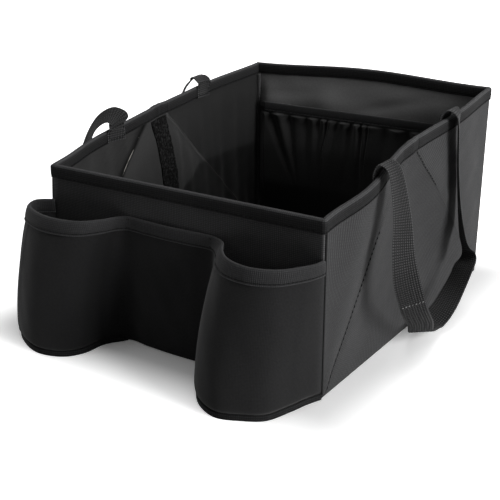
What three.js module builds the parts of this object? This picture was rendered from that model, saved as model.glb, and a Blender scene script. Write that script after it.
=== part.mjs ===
// Folding cloth box for a car seat, with two stretch cup pockets and two webbing handles.
// Millimetres. +Z is up, the cup pockets face -Y, the origin is the middle of the base's underside.
import * as THREE from 'three';

// Box
const WIDTH = 311;
const DEPTH = 373;
const FRONT_HEIGHT = 167;
const APEX_HEIGHT = 199;
const BACK_HEIGHT = 218;
const BACK_ARCH = 5;
const APEX_Y = -23.5;

// Layers of a wall, from the outer face inward
const CLOTH = 0.8;
const BOARD = 1.5;
const BASE_BOARD = 2;
const LINING = 0.6;
const GAP = 0.3;

// Tape folded over the rim, and the seam tapes
const TAPE = 0.8;
const HEM = 12;
const SEAM_TAPE = 4;

// Folds and slack of the side walls
const FOLD_CORNER = 8;
const FOLD_HALF_TOP = 17;
const FOLD_LEAN = 14;
const BOARD_INSET = 1.5;
const FOLD_DENT = 10;
const BACK_WALL_BOW = 4;

// Cup pockets
const PANEL = 1.6;
const PANEL_HEIGHT = 132;
const PANEL_BINDING = 12.5;
const LEFT_CUP_WIDTH = 98.5;
const RIGHT_CUP_WIDTH = 114.5;
const CUP_RIM_DEPTH = 46;
const CUP_FLOOR_DEPTH = 75;
const CUP_TUCK = 3;
const CUP_ROUND = 10;
const CUP_LIP = 5.5;
const CUP_LIP_TAPE = 2.6;
const CUP_LIP_PROUD = 1;
const CUP_BASE = 1.2;
const CENTRE_SLACK = 1.5;

// Handles
const WEBBING_WIDTH = 25;
const WEBBING = 1.6;
const HANDLE_FRONT_Y = -91.5;
const HANDLE_BACK_Y = 66;
const HANDLE_OVERLAP = 13;
const HANDLE_LOW = 9.5;

// Inner pocket on the back wall
const POCKET_FLOOR = 28;
const POCKET_HEIGHT = 172;
const POCKET_BAND = 12.5;
const POCKET_CLOTH = 0.8;
const POCKET_STANDOFF = 7;
const POCKET_BELLY = 6;
const POCKET_END = 12;
const GATHERS = 12;
const GATHER_DEPTH = 2.4;

// Hook-and-loop strip
const STRIP = 1;
const STRIP_HALF_TOP = 9;
const STRIP_HALF_LOW = 12.5;
const STRIP_BOTTOM_ROW = 4;

// Depths of the layers below the outer face
const BOARD_OUT = CLOTH + GAP;
const BOARD_IN = BOARD_OUT + BOARD;
const LINING_OUT = BOARD_IN + GAP;
const LINING_IN = LINING_OUT + LINING;
const LAYER_FLOOR = CLOTH + GAP;
const HALF_WIDTH = WIDTH / 2;
const HALF_DEPTH = DEPTH / 2;
const HEM_ROOM = HEM + 2;

const clothMaterial = (color, roughness) =>
  new THREE.MeshStandardMaterial({ color, roughness, metalness: 0 });
const outerLook = clothMaterial(0x1b1b1d, 0.85);
const liningLook = clothMaterial(0x141416, 0.6);
const boardLook = clothMaterial(0x5a5a5a, 0.9);
const tapeLook = clothMaterial(0x222224, 0.7);
const stretchLook = clothMaterial(0x19191b, 0.9);
const webbingLook = clothMaterial(0x202022, 0.75);
const stripLook = clothMaterial(0x101011, 1);

const lerp = THREE.MathUtils.lerp;
const point = (x, y, z) => new THREE.Vector3(x, y, z);
const range = (count) => Array.from({ length: count }, (_, i) => i);

const organizer = new THREE.Group();

function add(name, geometry, material) {
  const mesh = new THREE.Mesh(geometry, material);
  mesh.name = name;
  organizer.add(mesh);
}

// Turns the faces outward and makes the geometry
function solid(points, faces) {
  let volume = 0;
  for (const [a, b, c] of faces) {
    volume += points[a].dot(new THREE.Vector3().crossVectors(points[b], points[c]));
  }
  const index = volume > 0 ? faces.flat() : faces.flatMap(([a, b, c]) => [a, c, b]);
  const geometry = new THREE.BufferGeometry().setFromPoints(points);
  geometry.setIndex(index);
  geometry.computeVertexNormals();
  return geometry;
}

// A sheet between two grids of points, face and back, each [column][row]
function sheet(face, back) {
  const columns = face.length;
  const rows = face[0].length;
  const at = (side, i, j) => (side * columns + i) * rows + j;
  const points = [...face.flat(), ...back.flat()];
  const faces = [];
  const quad = (a, b, c, d) => faces.push([a, b, c], [a, c, d]);
  for (let i = 0; i < columns - 1; i++) {
    for (let j = 0; j < rows - 1; j++) {
      quad(at(0, i, j), at(0, i + 1, j), at(0, i + 1, j + 1), at(0, i, j + 1));
      quad(at(1, i, j), at(1, i, j + 1), at(1, i + 1, j + 1), at(1, i + 1, j));
    }
  }
  for (let i = 0; i < columns - 1; i++) {
    quad(at(0, i, 0), at(1, i, 0), at(1, i + 1, 0), at(0, i + 1, 0));
    quad(at(0, i, rows - 1), at(0, i + 1, rows - 1), at(1, i + 1, rows - 1), at(1, i, rows - 1));
  }
  for (let j = 0; j < rows - 1; j++) {
    quad(at(0, 0, j), at(0, 0, j + 1), at(1, 0, j + 1), at(1, 0, j));
    quad(at(0, columns - 1, j), at(1, columns - 1, j), at(1, columns - 1, j + 1), at(0, columns - 1, j + 1));
  }
  return solid(points, faces);
}

// A section swept through a list of rings of points; a loop joins the last ring to the first.
// Each quad is split the same way on both faces of a layer, so that nested layers never touch.
function sweep(rings, section, loop = false) {
  const count = section.length;
  const faces = [];
  const spans = loop ? rings.length : rings.length - 1;
  for (let r = 0; r < spans; r++) {
    const here = r * count;
    const next = ((r + 1) % rings.length) * count;
    for (let k = 0; k < count; k++) {
      const l = (k + 1) % count;
      const rising = section[l][1] >= section[k][1];
      if (rising) faces.push([here + k, here + l, next + l], [here + k, next + l, next + k]);
      else faces.push([here + k, here + l, next + k], [here + l, next + l, next + k]);
    }
  }
  if (!loop) {
    const flat = section.map(([a, b]) => new THREE.Vector2(a, b));
    const turn = THREE.ShapeUtils.isClockWise(flat);
    const end = (rings.length - 1) * count;
    for (const [a, b, c] of THREE.ShapeUtils.triangulateShape(flat, [])) {
      const [p, q] = turn ? [b, c] : [c, b];
      faces.push([a, p, q], [end + a, end + q, end + p]);
    }
  }
  return solid(rings.flat(), faces);
}

// Tape folded over an edge: [distance outward from the outer face, height above the edge]
function foldedTape(wall, drop) {
  const soft = TAPE * 0.6;
  return [
    [GAP + TAPE, -drop],
    [GAP + TAPE, GAP + TAPE - soft],
    [GAP + TAPE - soft, GAP + TAPE],
    [-wall - GAP - TAPE + soft, GAP + TAPE],
    [-wall - GAP - TAPE, GAP + TAPE - soft],
    [-wall - GAP - TAPE, -drop],
    [-wall - GAP, -drop],
    [-wall - GAP, GAP],
    [GAP, GAP],
    [GAP, -drop],
  ];
}

// Rim of the side walls: two slopes that meet at the apex of the folds
function sideRim(y) {
  if (y < APEX_Y) {
    return lerp(FRONT_HEIGHT, APEX_HEIGHT, (y + HALF_DEPTH) / (APEX_Y + HALF_DEPTH));
  }
  return lerp(APEX_HEIGHT, BACK_HEIGHT, (y - APEX_Y) / (HALF_DEPTH - APEX_Y));
}

// Side walls are laid out in columns that run up along the folds, each [y at the floor, y at the hem]
const CORNER_CLOTH = HALF_DEPTH - CLOTH - GAP;
const CORNER_LINING = HALF_DEPTH - LINING_IN - GAP;
const foldFront = [-HALF_DEPTH + FOLD_CORNER, APEX_Y - FOLD_HALF_TOP];
const foldCentre = [APEX_Y + FOLD_LEAN, APEX_Y];
const foldBack = [HALF_DEPTH - FOLD_CORNER, APEX_Y + FOLD_HALF_TOP];
const shift = ([low, high], by, byTop = by) => [low + by, high + byTop];
const between = (a, b, share) => [lerp(a[0], b[0], share), lerp(a[1], b[1], share)];

function sideColumns() {
  const frontEdge = [-CORNER_LINING, -CORNER_LINING];
  const backEdge = [CORNER_LINING, CORNER_LINING];
  const frontPanel = shift(foldFront, -BOARD_INSET);
  const backPanel = shift(foldBack, BOARD_INSET);
  const stripFront = shift(foldCentre, -STRIP_HALF_LOW, -STRIP_HALF_TOP);
  const stripBack = shift(foldCentre, STRIP_HALF_LOW, STRIP_HALF_TOP);
  const centreFront = shift(foldFront, BOARD_INSET);
  const centreBack = shift(foldBack, -BOARD_INSET);
  return [
    [-CORNER_CLOTH, -CORNER_CLOTH],
    frontEdge,
    between(frontEdge, frontPanel, 0.25),
    between(frontEdge, frontPanel, 0.5),
    between(frontEdge, frontPanel, 0.75),
    frontPanel,
    foldFront,
    centreFront,
    between(centreFront, stripFront, 0.5),
    stripFront,
    shift(foldCentre, -BOARD_INSET),
    foldCentre,
    shift(foldCentre, BOARD_INSET),
    stripBack,
    between(stripBack, centreBack, 0.5),
    centreBack,
    foldBack,
    backPanel,
    between(backPanel, backEdge, 0.25),
    between(backPanel, backEdge, 0.5),
    between(backPanel, backEdge, 0.75),
    backEdge,
    [CORNER_CLOTH, CORNER_CLOTH],
  ];
}
const COLUMNS = sideColumns();
const COLUMN = { edge: 1, frontEnd: 5, centreStart: 7, strip: 9, fold: 10, afterFold: 12,
  stripEnd: 13, centreEnd: 15, backStart: 17, backEdge: 21, last: 22 };

// Rows: floor, underside of the lining, start of the slack, even rows up to the hem, rim
const SLACK_START = 5;
const EVEN_ROWS = 5;
const ROW = { floor: 0, lining: 1, hem: EVEN_ROWS + 2, rim: EVEN_ROWS + 3 };
function rowHeight(row, rim) {
  const heights = [0, LAYER_FLOOR, SLACK_START];
  if (row < heights.length) return heights[row];
  if (row === ROW.rim) return rim;
  return lerp(SLACK_START, rim - HEM_ROOM, (row - 2) / EVEN_ROWS);
}

// Both rise from 0 at the ends to 1 in the middle; a swell also leaves the ends level
const arc = (share) => 4 * share * (1 - share);
const swell = (share) => Math.sin(Math.PI * THREE.MathUtils.clamp(share, 0, 1)) ** 2;

// How far a side wall stands outward of its plane. Each wall has its own slack at the folds.
const SIDES = {
  right: { sign: 1, frontBow: 8, backBow: 4, frontFold: 1, backFold: 6 },
  left: { sign: -1, frontBow: 5, backBow: 5, frontFold: 4, backFold: 0 },
};
function sideSlack(side, y, height, up) {
  const rise = Math.min(height / (APEX_HEIGHT - HEM_ROOM), 1);
  const frontLine = lerp(foldFront[0], foldFront[1], rise);
  const centreLine = lerp(foldCentre[0], foldCentre[1], rise);
  const backLine = lerp(foldBack[0], foldBack[1], rise);
  const frontFold = side.frontFold * arc(rise);
  const backFold = side.backFold * arc(rise);
  if (y < frontLine) {
    const share = (y + CORNER_LINING) / (frontLine + CORNER_LINING);
    return side.frontBow * swell(share) * up + frontFold * Math.max(share, 0);
  }
  if (y > backLine) {
    const share = (CORNER_LINING - y) / (CORNER_LINING - backLine);
    return side.backBow * swell(share) * up + backFold * Math.max(share, 0);
  }
  const toCentre = y < centreLine ? (y - frontLine) / (centreLine - frontLine)
    : (backLine - y) / (backLine - centreLine);
  const fold = y < centreLine ? frontFold : backFold;
  return lerp(fold, -FOLD_DENT * arc(rise), Math.sin(toCentre * Math.PI / 2));
}

function sidePoint(side, column, row, depth) {
  const [low, high] = COLUMNS[column];
  const rim = sideRim(high);
  const z = rowHeight(row, rim);
  const hem = rim - HEM_ROOM;
  const share = Math.min(z / hem, 1);
  const y = lerp(low, high, share);
  const slack = z > SLACK_START ? sideSlack(side, y, Math.min(z, hem), share) : 0;
  return point(side.sign * (HALF_WIDTH + slack - depth), y, z);
}

function sidePatch(side, columns, rows, outer, inner) {
  const grid = (depth) => range(columns[1] - columns[0] + 1).map((i) =>
    range(rows[1] - rows[0] + 1).map((j) => sidePoint(side, columns[0] + i, rows[0] + j, depth)));
  return sheet(grid(outer), grid(inner));
}

function addSide(name, side) {
  const whole = [ROW.lining, ROW.rim];
  const stiff = [ROW.lining, ROW.hem];
  const c = COLUMN;
  const board = (part, from, to) =>
    add(`side_board_${name}_${part}`, sidePatch(side, [from, to], stiff, BOARD_OUT, BOARD_IN), boardLook);
  add(`side_cloth_${name}`, sidePatch(side, [0, c.last], [ROW.floor, ROW.rim], 0, CLOTH), outerLook);
  add(`side_lining_${name}`, sidePatch(side, [c.edge, c.backEdge], whole, LINING_OUT, LINING_IN), liningLook);
  board('front_corner', c.edge, c.frontEnd);
  board('centre_front', c.centreStart, c.fold);
  board('centre_back', c.afterFold, c.centreEnd);
  board('back_corner', c.backStart, c.backEdge);
  const stripRows = [STRIP_BOTTOM_ROW, ROW.hem];
  const stripFace = LINING_IN + GAP + STRIP;
  add(`loop_strip_${name}`,
    sidePatch(side, [c.strip, c.stripEnd], stripRows, LINING_IN + GAP, stripFace), stripLook);
}

// Front wall: flat. Back wall: its rim arches up and the wall bows outward.
const BACK_COLUMNS = 8;
const backColumn = (i) => {
  const edge = HALF_WIDTH - BOARD_OUT;
  if (i === 0) return -HALF_WIDTH;
  if (i === BACK_COLUMNS + 2) return HALF_WIDTH;
  return lerp(-edge, edge, (i - 1) / BACK_COLUMNS);
};
const backShare = (x) => (x + HALF_WIDTH - BOARD_OUT) / (WIDTH - 2 * BOARD_OUT);
const backRim = (x) => BACK_HEIGHT + BACK_ARCH * swell(backShare(x));

function backPoint(column, row, depth) {
  const x = backColumn(column);
  const rim = backRim(x);
  const z = rowHeight(row, rim);
  const up = z > SLACK_START ? Math.min(z / (rim - HEM_ROOM), 1) : 0;
  return point(x, HALF_DEPTH + BACK_WALL_BOW * swell(backShare(x)) * up - depth, z);
}

function backPatch(columns, rows, outer, inner) {
  const grid = (depth) => range(columns[1] - columns[0] + 1).map((i) =>
    range(rows[1] - rows[0] + 1).map((j) => backPoint(columns[0] + i, rows[0] + j, depth)));
  return sheet(grid(outer), grid(inner));
}

function plate(low, high) {
  const size = high.clone().sub(low);
  const middle = high.clone().add(low).multiplyScalar(0.5);
  return new THREE.BoxGeometry(size.x, size.y, size.z).translate(middle.x, middle.y, middle.z);
}

function frontPlate(halfWidth, bottom, top, outer, inner) {
  return plate(point(-halfWidth, -HALF_DEPTH + outer, bottom), point(halfWidth, -HALF_DEPTH + inner, top));
}

function addEnds() {
  const inside = HALF_WIDTH - BOARD_OUT;
  const last = BACK_COLUMNS + 2;
  add('front_cloth', frontPlate(HALF_WIDTH, 0, FRONT_HEIGHT, 0, CLOTH), outerLook);
  add('front_board',
    frontPlate(inside, LAYER_FLOOR, FRONT_HEIGHT - HEM_ROOM, BOARD_OUT, BOARD_IN), boardLook);
  add('front_lining', frontPlate(inside, LAYER_FLOOR, FRONT_HEIGHT, LINING_OUT, LINING_IN), liningLook);
  add('back_cloth', backPatch([0, last], [ROW.floor, ROW.rim], 0, CLOTH), outerLook);
  add('back_board', backPatch([1, last - 1], [ROW.lining, ROW.hem], BOARD_OUT, BOARD_IN), boardLook);
  add('back_lining', backPatch([1, last - 1], [ROW.lining, ROW.rim], LINING_OUT, LINING_IN), liningLook);
}

function addBase() {
  const layer = (name, edge, bottom, thickness, look) => {
    const x = HALF_WIDTH - edge;
    const y = HALF_DEPTH - edge;
    add(name, plate(point(-x, -y, bottom), point(x, y, bottom + thickness)), look);
  };
  layer('base_cloth', CLOTH + GAP, 0, CLOTH, outerLook);
  layer('base_board', LINING_IN + GAP, LAYER_FLOOR, BASE_BOARD, boardLook);
  layer('base_lining', LINING_IN + GAP, LAYER_FLOOR + BASE_BOARD + GAP, LINING, liningLook);
}
const FLOOR_TOP = LAYER_FLOOR + BASE_BOARD + GAP + LINING;

// One tape round the whole rim
function addRimBinding() {
  const section = foldedTape(LINING_IN, HEM);
  const corner = (sx, sy, rim) => section.map(([out, up]) => {
    const y = sy * (HALF_DEPTH + out);
    return point(sx * (HALF_WIDTH + out), y, Math.max(rim, sideRim(y)) + up);
  });
  const sideRing = (side, column) => {
    const base = sidePoint(side, column, ROW.rim, 0);
    return section.map(([out, up]) => point(base.x + side.sign * out, base.y, base.z + up));
  };
  const backRing = (column) => {
    const base = backPoint(column, ROW.rim, 0);
    return section.map(([out, up]) => point(base.x, base.y + out, base.z + up));
  };
  const sideSteps = range(COLUMN.backEdge - COLUMN.edge - 1).map((i) => COLUMN.edge + 1 + i);
  const backSteps = range(BACK_COLUMNS - 1).map((i) => i + 2);
  const rings = [
    corner(-1, -1, FRONT_HEIGHT),
    corner(1, -1, FRONT_HEIGHT),
    ...sideSteps.map((i) => sideRing(SIDES.right, i)),
    corner(1, 1, BACK_HEIGHT),
    ...backSteps.reverse().map(backRing),
    corner(-1, 1, BACK_HEIGHT),
    ...sideSteps.slice().reverse().map((i) => sideRing(SIDES.left, i)),
  ];
  add('rim_binding', sweep(rings, section, true), tapeLook);
}

// Square tape over each inner corner seam
function addCornerTapes() {
  const x = HALF_WIDTH - LINING_IN - GAP;
  const y = HALF_DEPTH - LINING_IN - GAP;
  for (const [end, sy, rim] of [['front', -1, FRONT_HEIGHT], ['back', 1, BACK_HEIGHT]]) {
    for (const [name, sx] of [['left', -1], ['right', 1]]) {
      const bevel = SEAM_TAPE / 2;
      const outline = [[x, y], [x, y - SEAM_TAPE], [x - bevel, y - SEAM_TAPE],
        [x - SEAM_TAPE, y - bevel], [x - SEAM_TAPE, y]];
      const ring = (z) => outline.map(([px, py]) => point(sx * px, sy * py, z));
      const top = rim - HEM - GAP - SEAM_TAPE / 4;
      add(`corner_tape_${end}_${name}`, sweep([ring(FLOOR_TOP + GAP), ring(top)], outline), tapeLook);
    }
  }
}

// Cup pockets. Each outline runs from the corner seam to the crease beside the centre:
// [share of the cup's width, share of its depth], at the rim and at the floor.
const LEFT_CUP = {
  sign: -1,
  width: LEFT_CUP_WIDTH,
  rim: [[-0.14, 0.26], [-0.1, 0.58], [0.12, 0.86], [0.41, 0.98], [0.705, 0.83], [0.84, 0.5], [0.93, 0.15]],
  floor: [[-0.14, 0.27], [-0.165, 0.62], [0.075, 0.88], [0.38, 1.01], [0.645, 0.9], [0.76, 0.68], [0.8, 0.32]],
  floorCrease: 0.93,
};
const RIGHT_CUP = {
  sign: 1,
  width: RIGHT_CUP_WIDTH,
  rim: [[0.01, 0.2], [0.05, 0.42], [0.19, 0.87], [0.4, 1.04], [0.63, 0.88], [0.77, 0.55], [0.86, 0.22]],
  floor: [[0.03, 0.2], [0.08, 0.46], [0.17, 0.8], [0.33, 0.96], [0.52, 1.06], [0.74, 0.92], [0.91, 0.6]],
  floorCrease: 0.98,
};
const CREASE_OUT = GAP + TAPE + GAP + PANEL;
const PLAN_STEPS = 3;
const PANEL_ROWS = 4;

// Plan of a cup at a height: points [x, distance in front of the wall], corner first
function cupPlan(cup, z) {
  const lift = z / PANEL_HEIGHT;
  const rimShare = lift ** 2;
  const low = THREE.MathUtils.clamp((CUP_LIP + CUP_ROUND - z) / CUP_ROUND, 0, 1);
  const inset = CUP_TUCK * (1 - Math.sqrt(1 - low ** 2));
  const depth = lerp(CUP_FLOOR_DEPTH, CUP_RIM_DEPTH, rimShare);
  const pull = 1 - inset / depth;
  const place = (share) => cup.sign * (HALF_WIDTH - share * cup.width);
  const inner = cup.rim.map(([across, out], i) => {
    const [lowAcross, lowOut] = cup.floor[i];
    const wide = 0.5 + (lerp(lowAcross, across, rimShare) - 0.5) * pull;
    const far = lerp(lowOut * CUP_FLOOR_DEPTH, out * CUP_RIM_DEPTH, rimShare) * pull;
    return [place(wide), Math.max(far, CREASE_OUT)];
  });
  return [[place(0), GAP], ...inner, [place(lerp(cup.floorCrease, 1, rimShare)), CREASE_OUT]];
}

// Plan of the whole panel, left seam to right seam
function panelPlan(z) {
  const left = cupPlan(LEFT_CUP, z);
  const right = cupPlan(RIGHT_CUP, z).reverse();
  const from = left[left.length - 1][0];
  const to = right[0][0];
  const slack = [0.25, 0.5, 0.75].map((share) =>
    [lerp(from, to, share), CREASE_OUT + CENTRE_SLACK * swell(share)]);
  return smooth([...left, ...slack, ...right]);
}

function smooth(plan) {
  const curve = new THREE.CatmullRomCurve3(plan.map(([x, out]) => point(x, -out, 0)), false, 'centripetal');
  const count = (plan.length - 1) * PLAN_STEPS;
  return range(count + 1).map((i) => {
    const at = curve.getPoint(i / count);
    const along = curve.getTangent(i / count);
    return { x: at.x, out: -at.y, nx: along.y, nOut: along.x };
  });
}

// A point beside the plan, by a distance outward, kept clear of the wall
function besidePlan(at, outward, z) {
  const out = Math.max(at.out + at.nOut * outward, GAP);
  return point(at.x + at.nx * outward, -HALF_DEPTH - out, z);
}

function addCupPanel() {
  const top = PANEL_HEIGHT - TAPE - GAP;
  const bottom = CUP_LIP + GAP;
  const upright = CUP_LIP + CUP_ROUND;
  const even = range(PANEL_ROWS + 1).map((i) => lerp(upright, top - PANEL_BINDING, i / PANEL_ROWS));
  const rows = [bottom, lerp(bottom, upright, 0.4), ...even, top];
  const plans = rows.map((z) => panelPlan(z));
  const grid = (outward) => plans[0].map((_, i) =>
    rows.map((z, j) => besidePlan(plans[j][i], outward, z)));
  add('cup_panel', sheet(grid(0), grid(-PANEL)), stretchLook);

  const section = foldedTape(PANEL, PANEL_BINDING);
  const planAt = new Map(section.map(([, up]) => [up, panelPlan(top + up)]));
  const rings = plans[0].map((_, i) =>
    section.map(([out, up]) => besidePlan(planAt.get(up)[i], out, top + up)));
  add('cup_binding', sweep(rings, section), tapeLook);
}

// The seam under a cup: the base cloth, and the bound lip that stands between it and the panel
function addCupBase(name, cup) {
  const plan = smooth(cupPlan(cup, CUP_LIP).map(([x, out]) => [cup.sign * x, out]));
  const edge = plan.filter((_, i) => i % 2 === 0);
  const beside = (at, outward, z) => {
    const p = besidePlan(at, outward, z);
    return point(cup.sign * p.x, p.y, p.z);
  };
  const section = [
    [-CUP_LIP_PROUD, 0], [-CUP_LIP_PROUD, CUP_LIP],
    [CUP_LIP_TAPE - CUP_LIP_PROUD, CUP_LIP], [CUP_LIP_TAPE - CUP_LIP_PROUD, 0],
  ];
  const rings = edge.map((at) => section.map(([out, up]) => beside(at, out, up)));
  add(`cup_base_binding_${name}`, sweep(rings, section), tapeLook);

  const inside = CUP_LIP_TAPE - CUP_LIP_PROUD + GAP;
  const ring = (z) => edge.map((at) => beside(at, inside, z));
  const outline = ring(0).map((p) => [p.x, p.y]);
  add(`cup_base_${name}`, sweep([ring(0), ring(CUP_BASE)], outline), stretchLook);
}

// Handle routes, from the inner end over the rim, down, round and up again. The ends are sewn flat on
// the inner face of the rim binding. Rows over the rim: [distance out from the rim, distance along it,
// height above it, turn of the webbing in degrees]. Rows of the loop: [distance out from the wall's
// plane, share of the way from the front end to the back end, share of the rim's height, turn].
const IN_FACE = -(LINING_IN + GAP + TAPE + GAP + WEBBING / 2);
const RIGHT_HANDLE = {
  front: [[IN_FACE, 0, -HANDLE_OVERLAP, 0], [IN_FACE, 0, 3, 0], [1, 0, 10.5, 0], [9, 0, 7, 0]],
  loop: [
    [27, -0.02, 0.81, 12], [34.5, -0.07, 0.6, 29], [39, -0.065, 0.46, 46], [42, 0.02, 0.29, 49],
    [38.5, 0.18, 0.15, 48], [29, 0.35, 0.03, 49], [24.5, 0.55, 0, 56], [29, 0.68, 0.05, 77],
    [29.5, 0.83, 0.11, 103], [30, 0.97, 0.19, 117], [27, 1.09, 0.25, 130], [20, 1.1, 0.34, 141],
    [14, 1.09, 0.52, 151], [11, 1.06, 0.73, 155],
  ],
  back: [[7.5, 2, -6, -22], [7, 1, 4, -14], [1, 0, 9, -4], [IN_FACE, 0, 3, 0],
    [IN_FACE, 0, -HANDLE_OVERLAP, 0]],
};
const LEFT_HANDLE = {
  front: [[IN_FACE, 0, -HANDLE_OVERLAP, 0], [IN_FACE, 0, -3, 0], [IN_FACE - 1.5, -1, 5, 5], [-13, -6, 18, 34],
    [-4, -8, 17.5, 50], [6, -13, 10, 56], [14.5, -18, -2, 60]],
  loop: [
    [22, -0.165, 0.84, 62], [28, -0.15, 0.63, 57], [35, -0.1, 0.45, 52], [39, 0.02, 0.29, 50],
    [37, 0.18, 0.15, 49], [29, 0.35, 0.03, 50], [24.5, 0.55, 0, 58], [29, 0.68, 0.05, 80],
    [29.5, 0.81, 0.11, 106], [29, 0.91, 0.2, 122], [25, 0.95, 0.31, 142], [21, 0.93, 0.46, 166],
    [18.5, 0.89, 0.62, 192], [18.5, 0.86, 0.78, 214], [19.5, 0.88, 0.89, 220],
  ],
  back: [[13.5, -11, -4, 35], [10, -3.5, 5, 28], [5, -1, 10, 8], [-2, 0, 9, -4], [IN_FACE - 1.5, 0, 4, 0],
    [IN_FACE, 0, -3, 0], [IN_FACE, 0, -HANDLE_OVERLAP, 0]],
};
const ROUTE_STEPS = 2;

// Outer face of the rim at a place along a side wall, between the two columns beside it
function rimAt(side, y) {
  const tops = range(COLUMNS.length).map((i) => sidePoint(side, i, ROW.rim, 0));
  const next = tops.findIndex((top) => top.y > y);
  const share = (y - tops[next - 1].y) / (tops[next].y - tops[next - 1].y);
  return tops[next - 1].clone().lerp(tops[next], share);
}

// Where an end of the webbing is sewn: the chord of the rim behind it, and how far it turns
function seatAt(side, y) {
  const low = rimAt(side, y - WEBBING_WIDTH / 2);
  const high = rimAt(side, y + WEBBING_WIDTH / 2);
  const turn = Math.atan2(side.sign * (high.x - low.x), WEBBING_WIDTH);
  return { x: side.sign * (low.x + high.x) / 2, z: rimAt(side, y).z, turn: THREE.MathUtils.radToDeg(turn) };
}

function handleKeys(side, route) {
  const front = seatAt(side, HANDLE_FRONT_Y);
  const back = seatAt(side, HANDLE_BACK_Y);
  const atRim = (seat, y, rows, full) => rows.map(([out, along, up, turn]) => ({
    at: point(seat.x + out, y + along, seat.z + up),
    turn: full + turn + (out === IN_FACE ? seat.turn : 0),
  }));
  const loop = route.loop.map(([out, along, up, turn]) => {
    const rim = along < 0.5 ? front.z : back.z;
    const y = lerp(HANDLE_FRONT_Y, HANDLE_BACK_Y, along);
    return { at: point(HALF_WIDTH + out, y, lerp(HANDLE_LOW, rim, up)), turn };
  });
  return [
    ...atRim(front, HANDLE_FRONT_Y, route.front, 0),
    ...loop,
    ...atRim(back, HANDLE_BACK_Y, route.back, 180),
  ];
}

function addHandle(name, side, route) {
  const keys = handleKeys(side, route);
  const path = new THREE.CatmullRomCurve3(keys.map((key) => key.at), false, 'centripetal');
  const turning = keys.map((key) => point(key.turn, 0, 0));
  const turnPath = new THREE.CatmullRomCurve3(turning, false, 'catmullrom');
  const steps = (keys.length - 1) * ROUTE_STEPS;
  const section = [[-1, -1], [1, -1], [1, 1], [-1, 1]];
  const rings = range(steps + 1).map((i) => {
    const share = i / steps;
    const at = path.getPoint(share);
    const along = path.getTangent(share);
    const turn = THREE.MathUtils.degToRad(turnPath.getPoint(share).x);
    const across = point(Math.sin(turn), Math.cos(turn), 0);
    across.addScaledVector(along, -across.dot(along)).normalize();
    const through = new THREE.Vector3().crossVectors(along, across);
    return section.map(([a, b]) => {
      const p = at.clone().addScaledVector(across, a * WEBBING_WIDTH / 2);
      p.addScaledVector(through, b * WEBBING / 2);
      return point(side.sign * p.x, p.y, p.z);
    });
  });
  add(`handle_${name}`, sweep(rings, section), webbingLook);
}

// Gathered pocket inside the back wall, and the elastic folded over its edge
const POCKET_HALF = HALF_WIDTH - LINING_IN - GAP - SEAM_TAPE - GAP;
const POCKET_WALL = HALF_DEPTH - LINING_IN - GAP;
const endRamp = (x) => Math.min((POCKET_HALF - Math.abs(x)) / POCKET_END, 1);

function addPocket() {
  const top = POCKET_HEIGHT - TAPE - GAP;
  const bandBottom = top - POCKET_BAND;
  const seat = TAPE + GAP;
  // Rows: [height, how far it stands off, depth of the gathers]
  const rows = [
    [POCKET_FLOOR, 0, 0],
    [lerp(POCKET_FLOOR, bandBottom, 0.3), 1.6, 0.5],
    [lerp(POCKET_FLOOR, bandBottom, 0.7), 1.7, 0.8],
    [bandBottom - 5, 1, 1],
    [bandBottom, 1, 0],
    [top, 1, 0],
  ];
  const steps = GATHERS * 4;
  const depthAt = (x, [, belly, fold], i) => {
    const wave = fold * GATHER_DEPTH * Math.sin(i * Math.PI / 2) * endRamp(x);
    const stand = lerp(0, POCKET_STANDOFF, Math.min(belly, 1)) + Math.max(belly - 1, 0) * POCKET_BELLY;
    return seat + stand * endRamp(x) + wave;
  };
  const grid = (thickness) => range(steps + 1).map((i) => {
    const x = lerp(-POCKET_HALF, POCKET_HALF, i / steps);
    return rows.map((row) => point(x, POCKET_WALL - depthAt(x, row, i) - thickness, row[0]));
  });
  add('inner_pocket', sheet(grid(0), grid(POCKET_CLOTH)), liningLook);

  const section = foldedTape(POCKET_CLOTH, POCKET_BAND);
  const stops = [-POCKET_HALF, -POCKET_HALF + POCKET_END, POCKET_HALF - POCKET_END, POCKET_HALF];
  const rings = stops.map((x) => section.map(([out, up]) => {
    const depth = seat + POCKET_STANDOFF * endRamp(x) + POCKET_CLOTH;
    return point(x, POCKET_WALL - depth - out, top + up);
  }));
  add('inner_pocket_elastic', sweep(rings, section), tapeLook);
}

addEnds();
addSide('left', SIDES.left);
addSide('right', SIDES.right);
addBase();
addRimBinding();
addCornerTapes();
addCupPanel();
addCupBase('left', LEFT_CUP);
addCupBase('right', RIGHT_CUP);
addHandle('left', SIDES.left, LEFT_HANDLE);
addHandle('right', SIDES.right, RIGHT_HANDLE);
addPocket();

export default organizer;
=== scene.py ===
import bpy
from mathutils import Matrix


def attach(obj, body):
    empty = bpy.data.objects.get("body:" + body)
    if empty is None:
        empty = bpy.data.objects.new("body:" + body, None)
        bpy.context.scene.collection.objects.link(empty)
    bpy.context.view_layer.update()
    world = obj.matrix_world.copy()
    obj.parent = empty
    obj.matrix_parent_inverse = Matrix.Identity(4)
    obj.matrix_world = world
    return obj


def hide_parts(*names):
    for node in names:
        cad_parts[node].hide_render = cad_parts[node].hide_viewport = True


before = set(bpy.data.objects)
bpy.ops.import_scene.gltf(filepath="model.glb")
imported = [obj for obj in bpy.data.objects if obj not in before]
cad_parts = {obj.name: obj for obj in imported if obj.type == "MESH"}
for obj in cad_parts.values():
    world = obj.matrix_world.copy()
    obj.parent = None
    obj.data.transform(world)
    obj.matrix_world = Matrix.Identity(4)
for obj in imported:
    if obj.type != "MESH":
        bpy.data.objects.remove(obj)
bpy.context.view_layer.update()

import math

import bpy
import numpy as np
from mathutils import Vector

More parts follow.
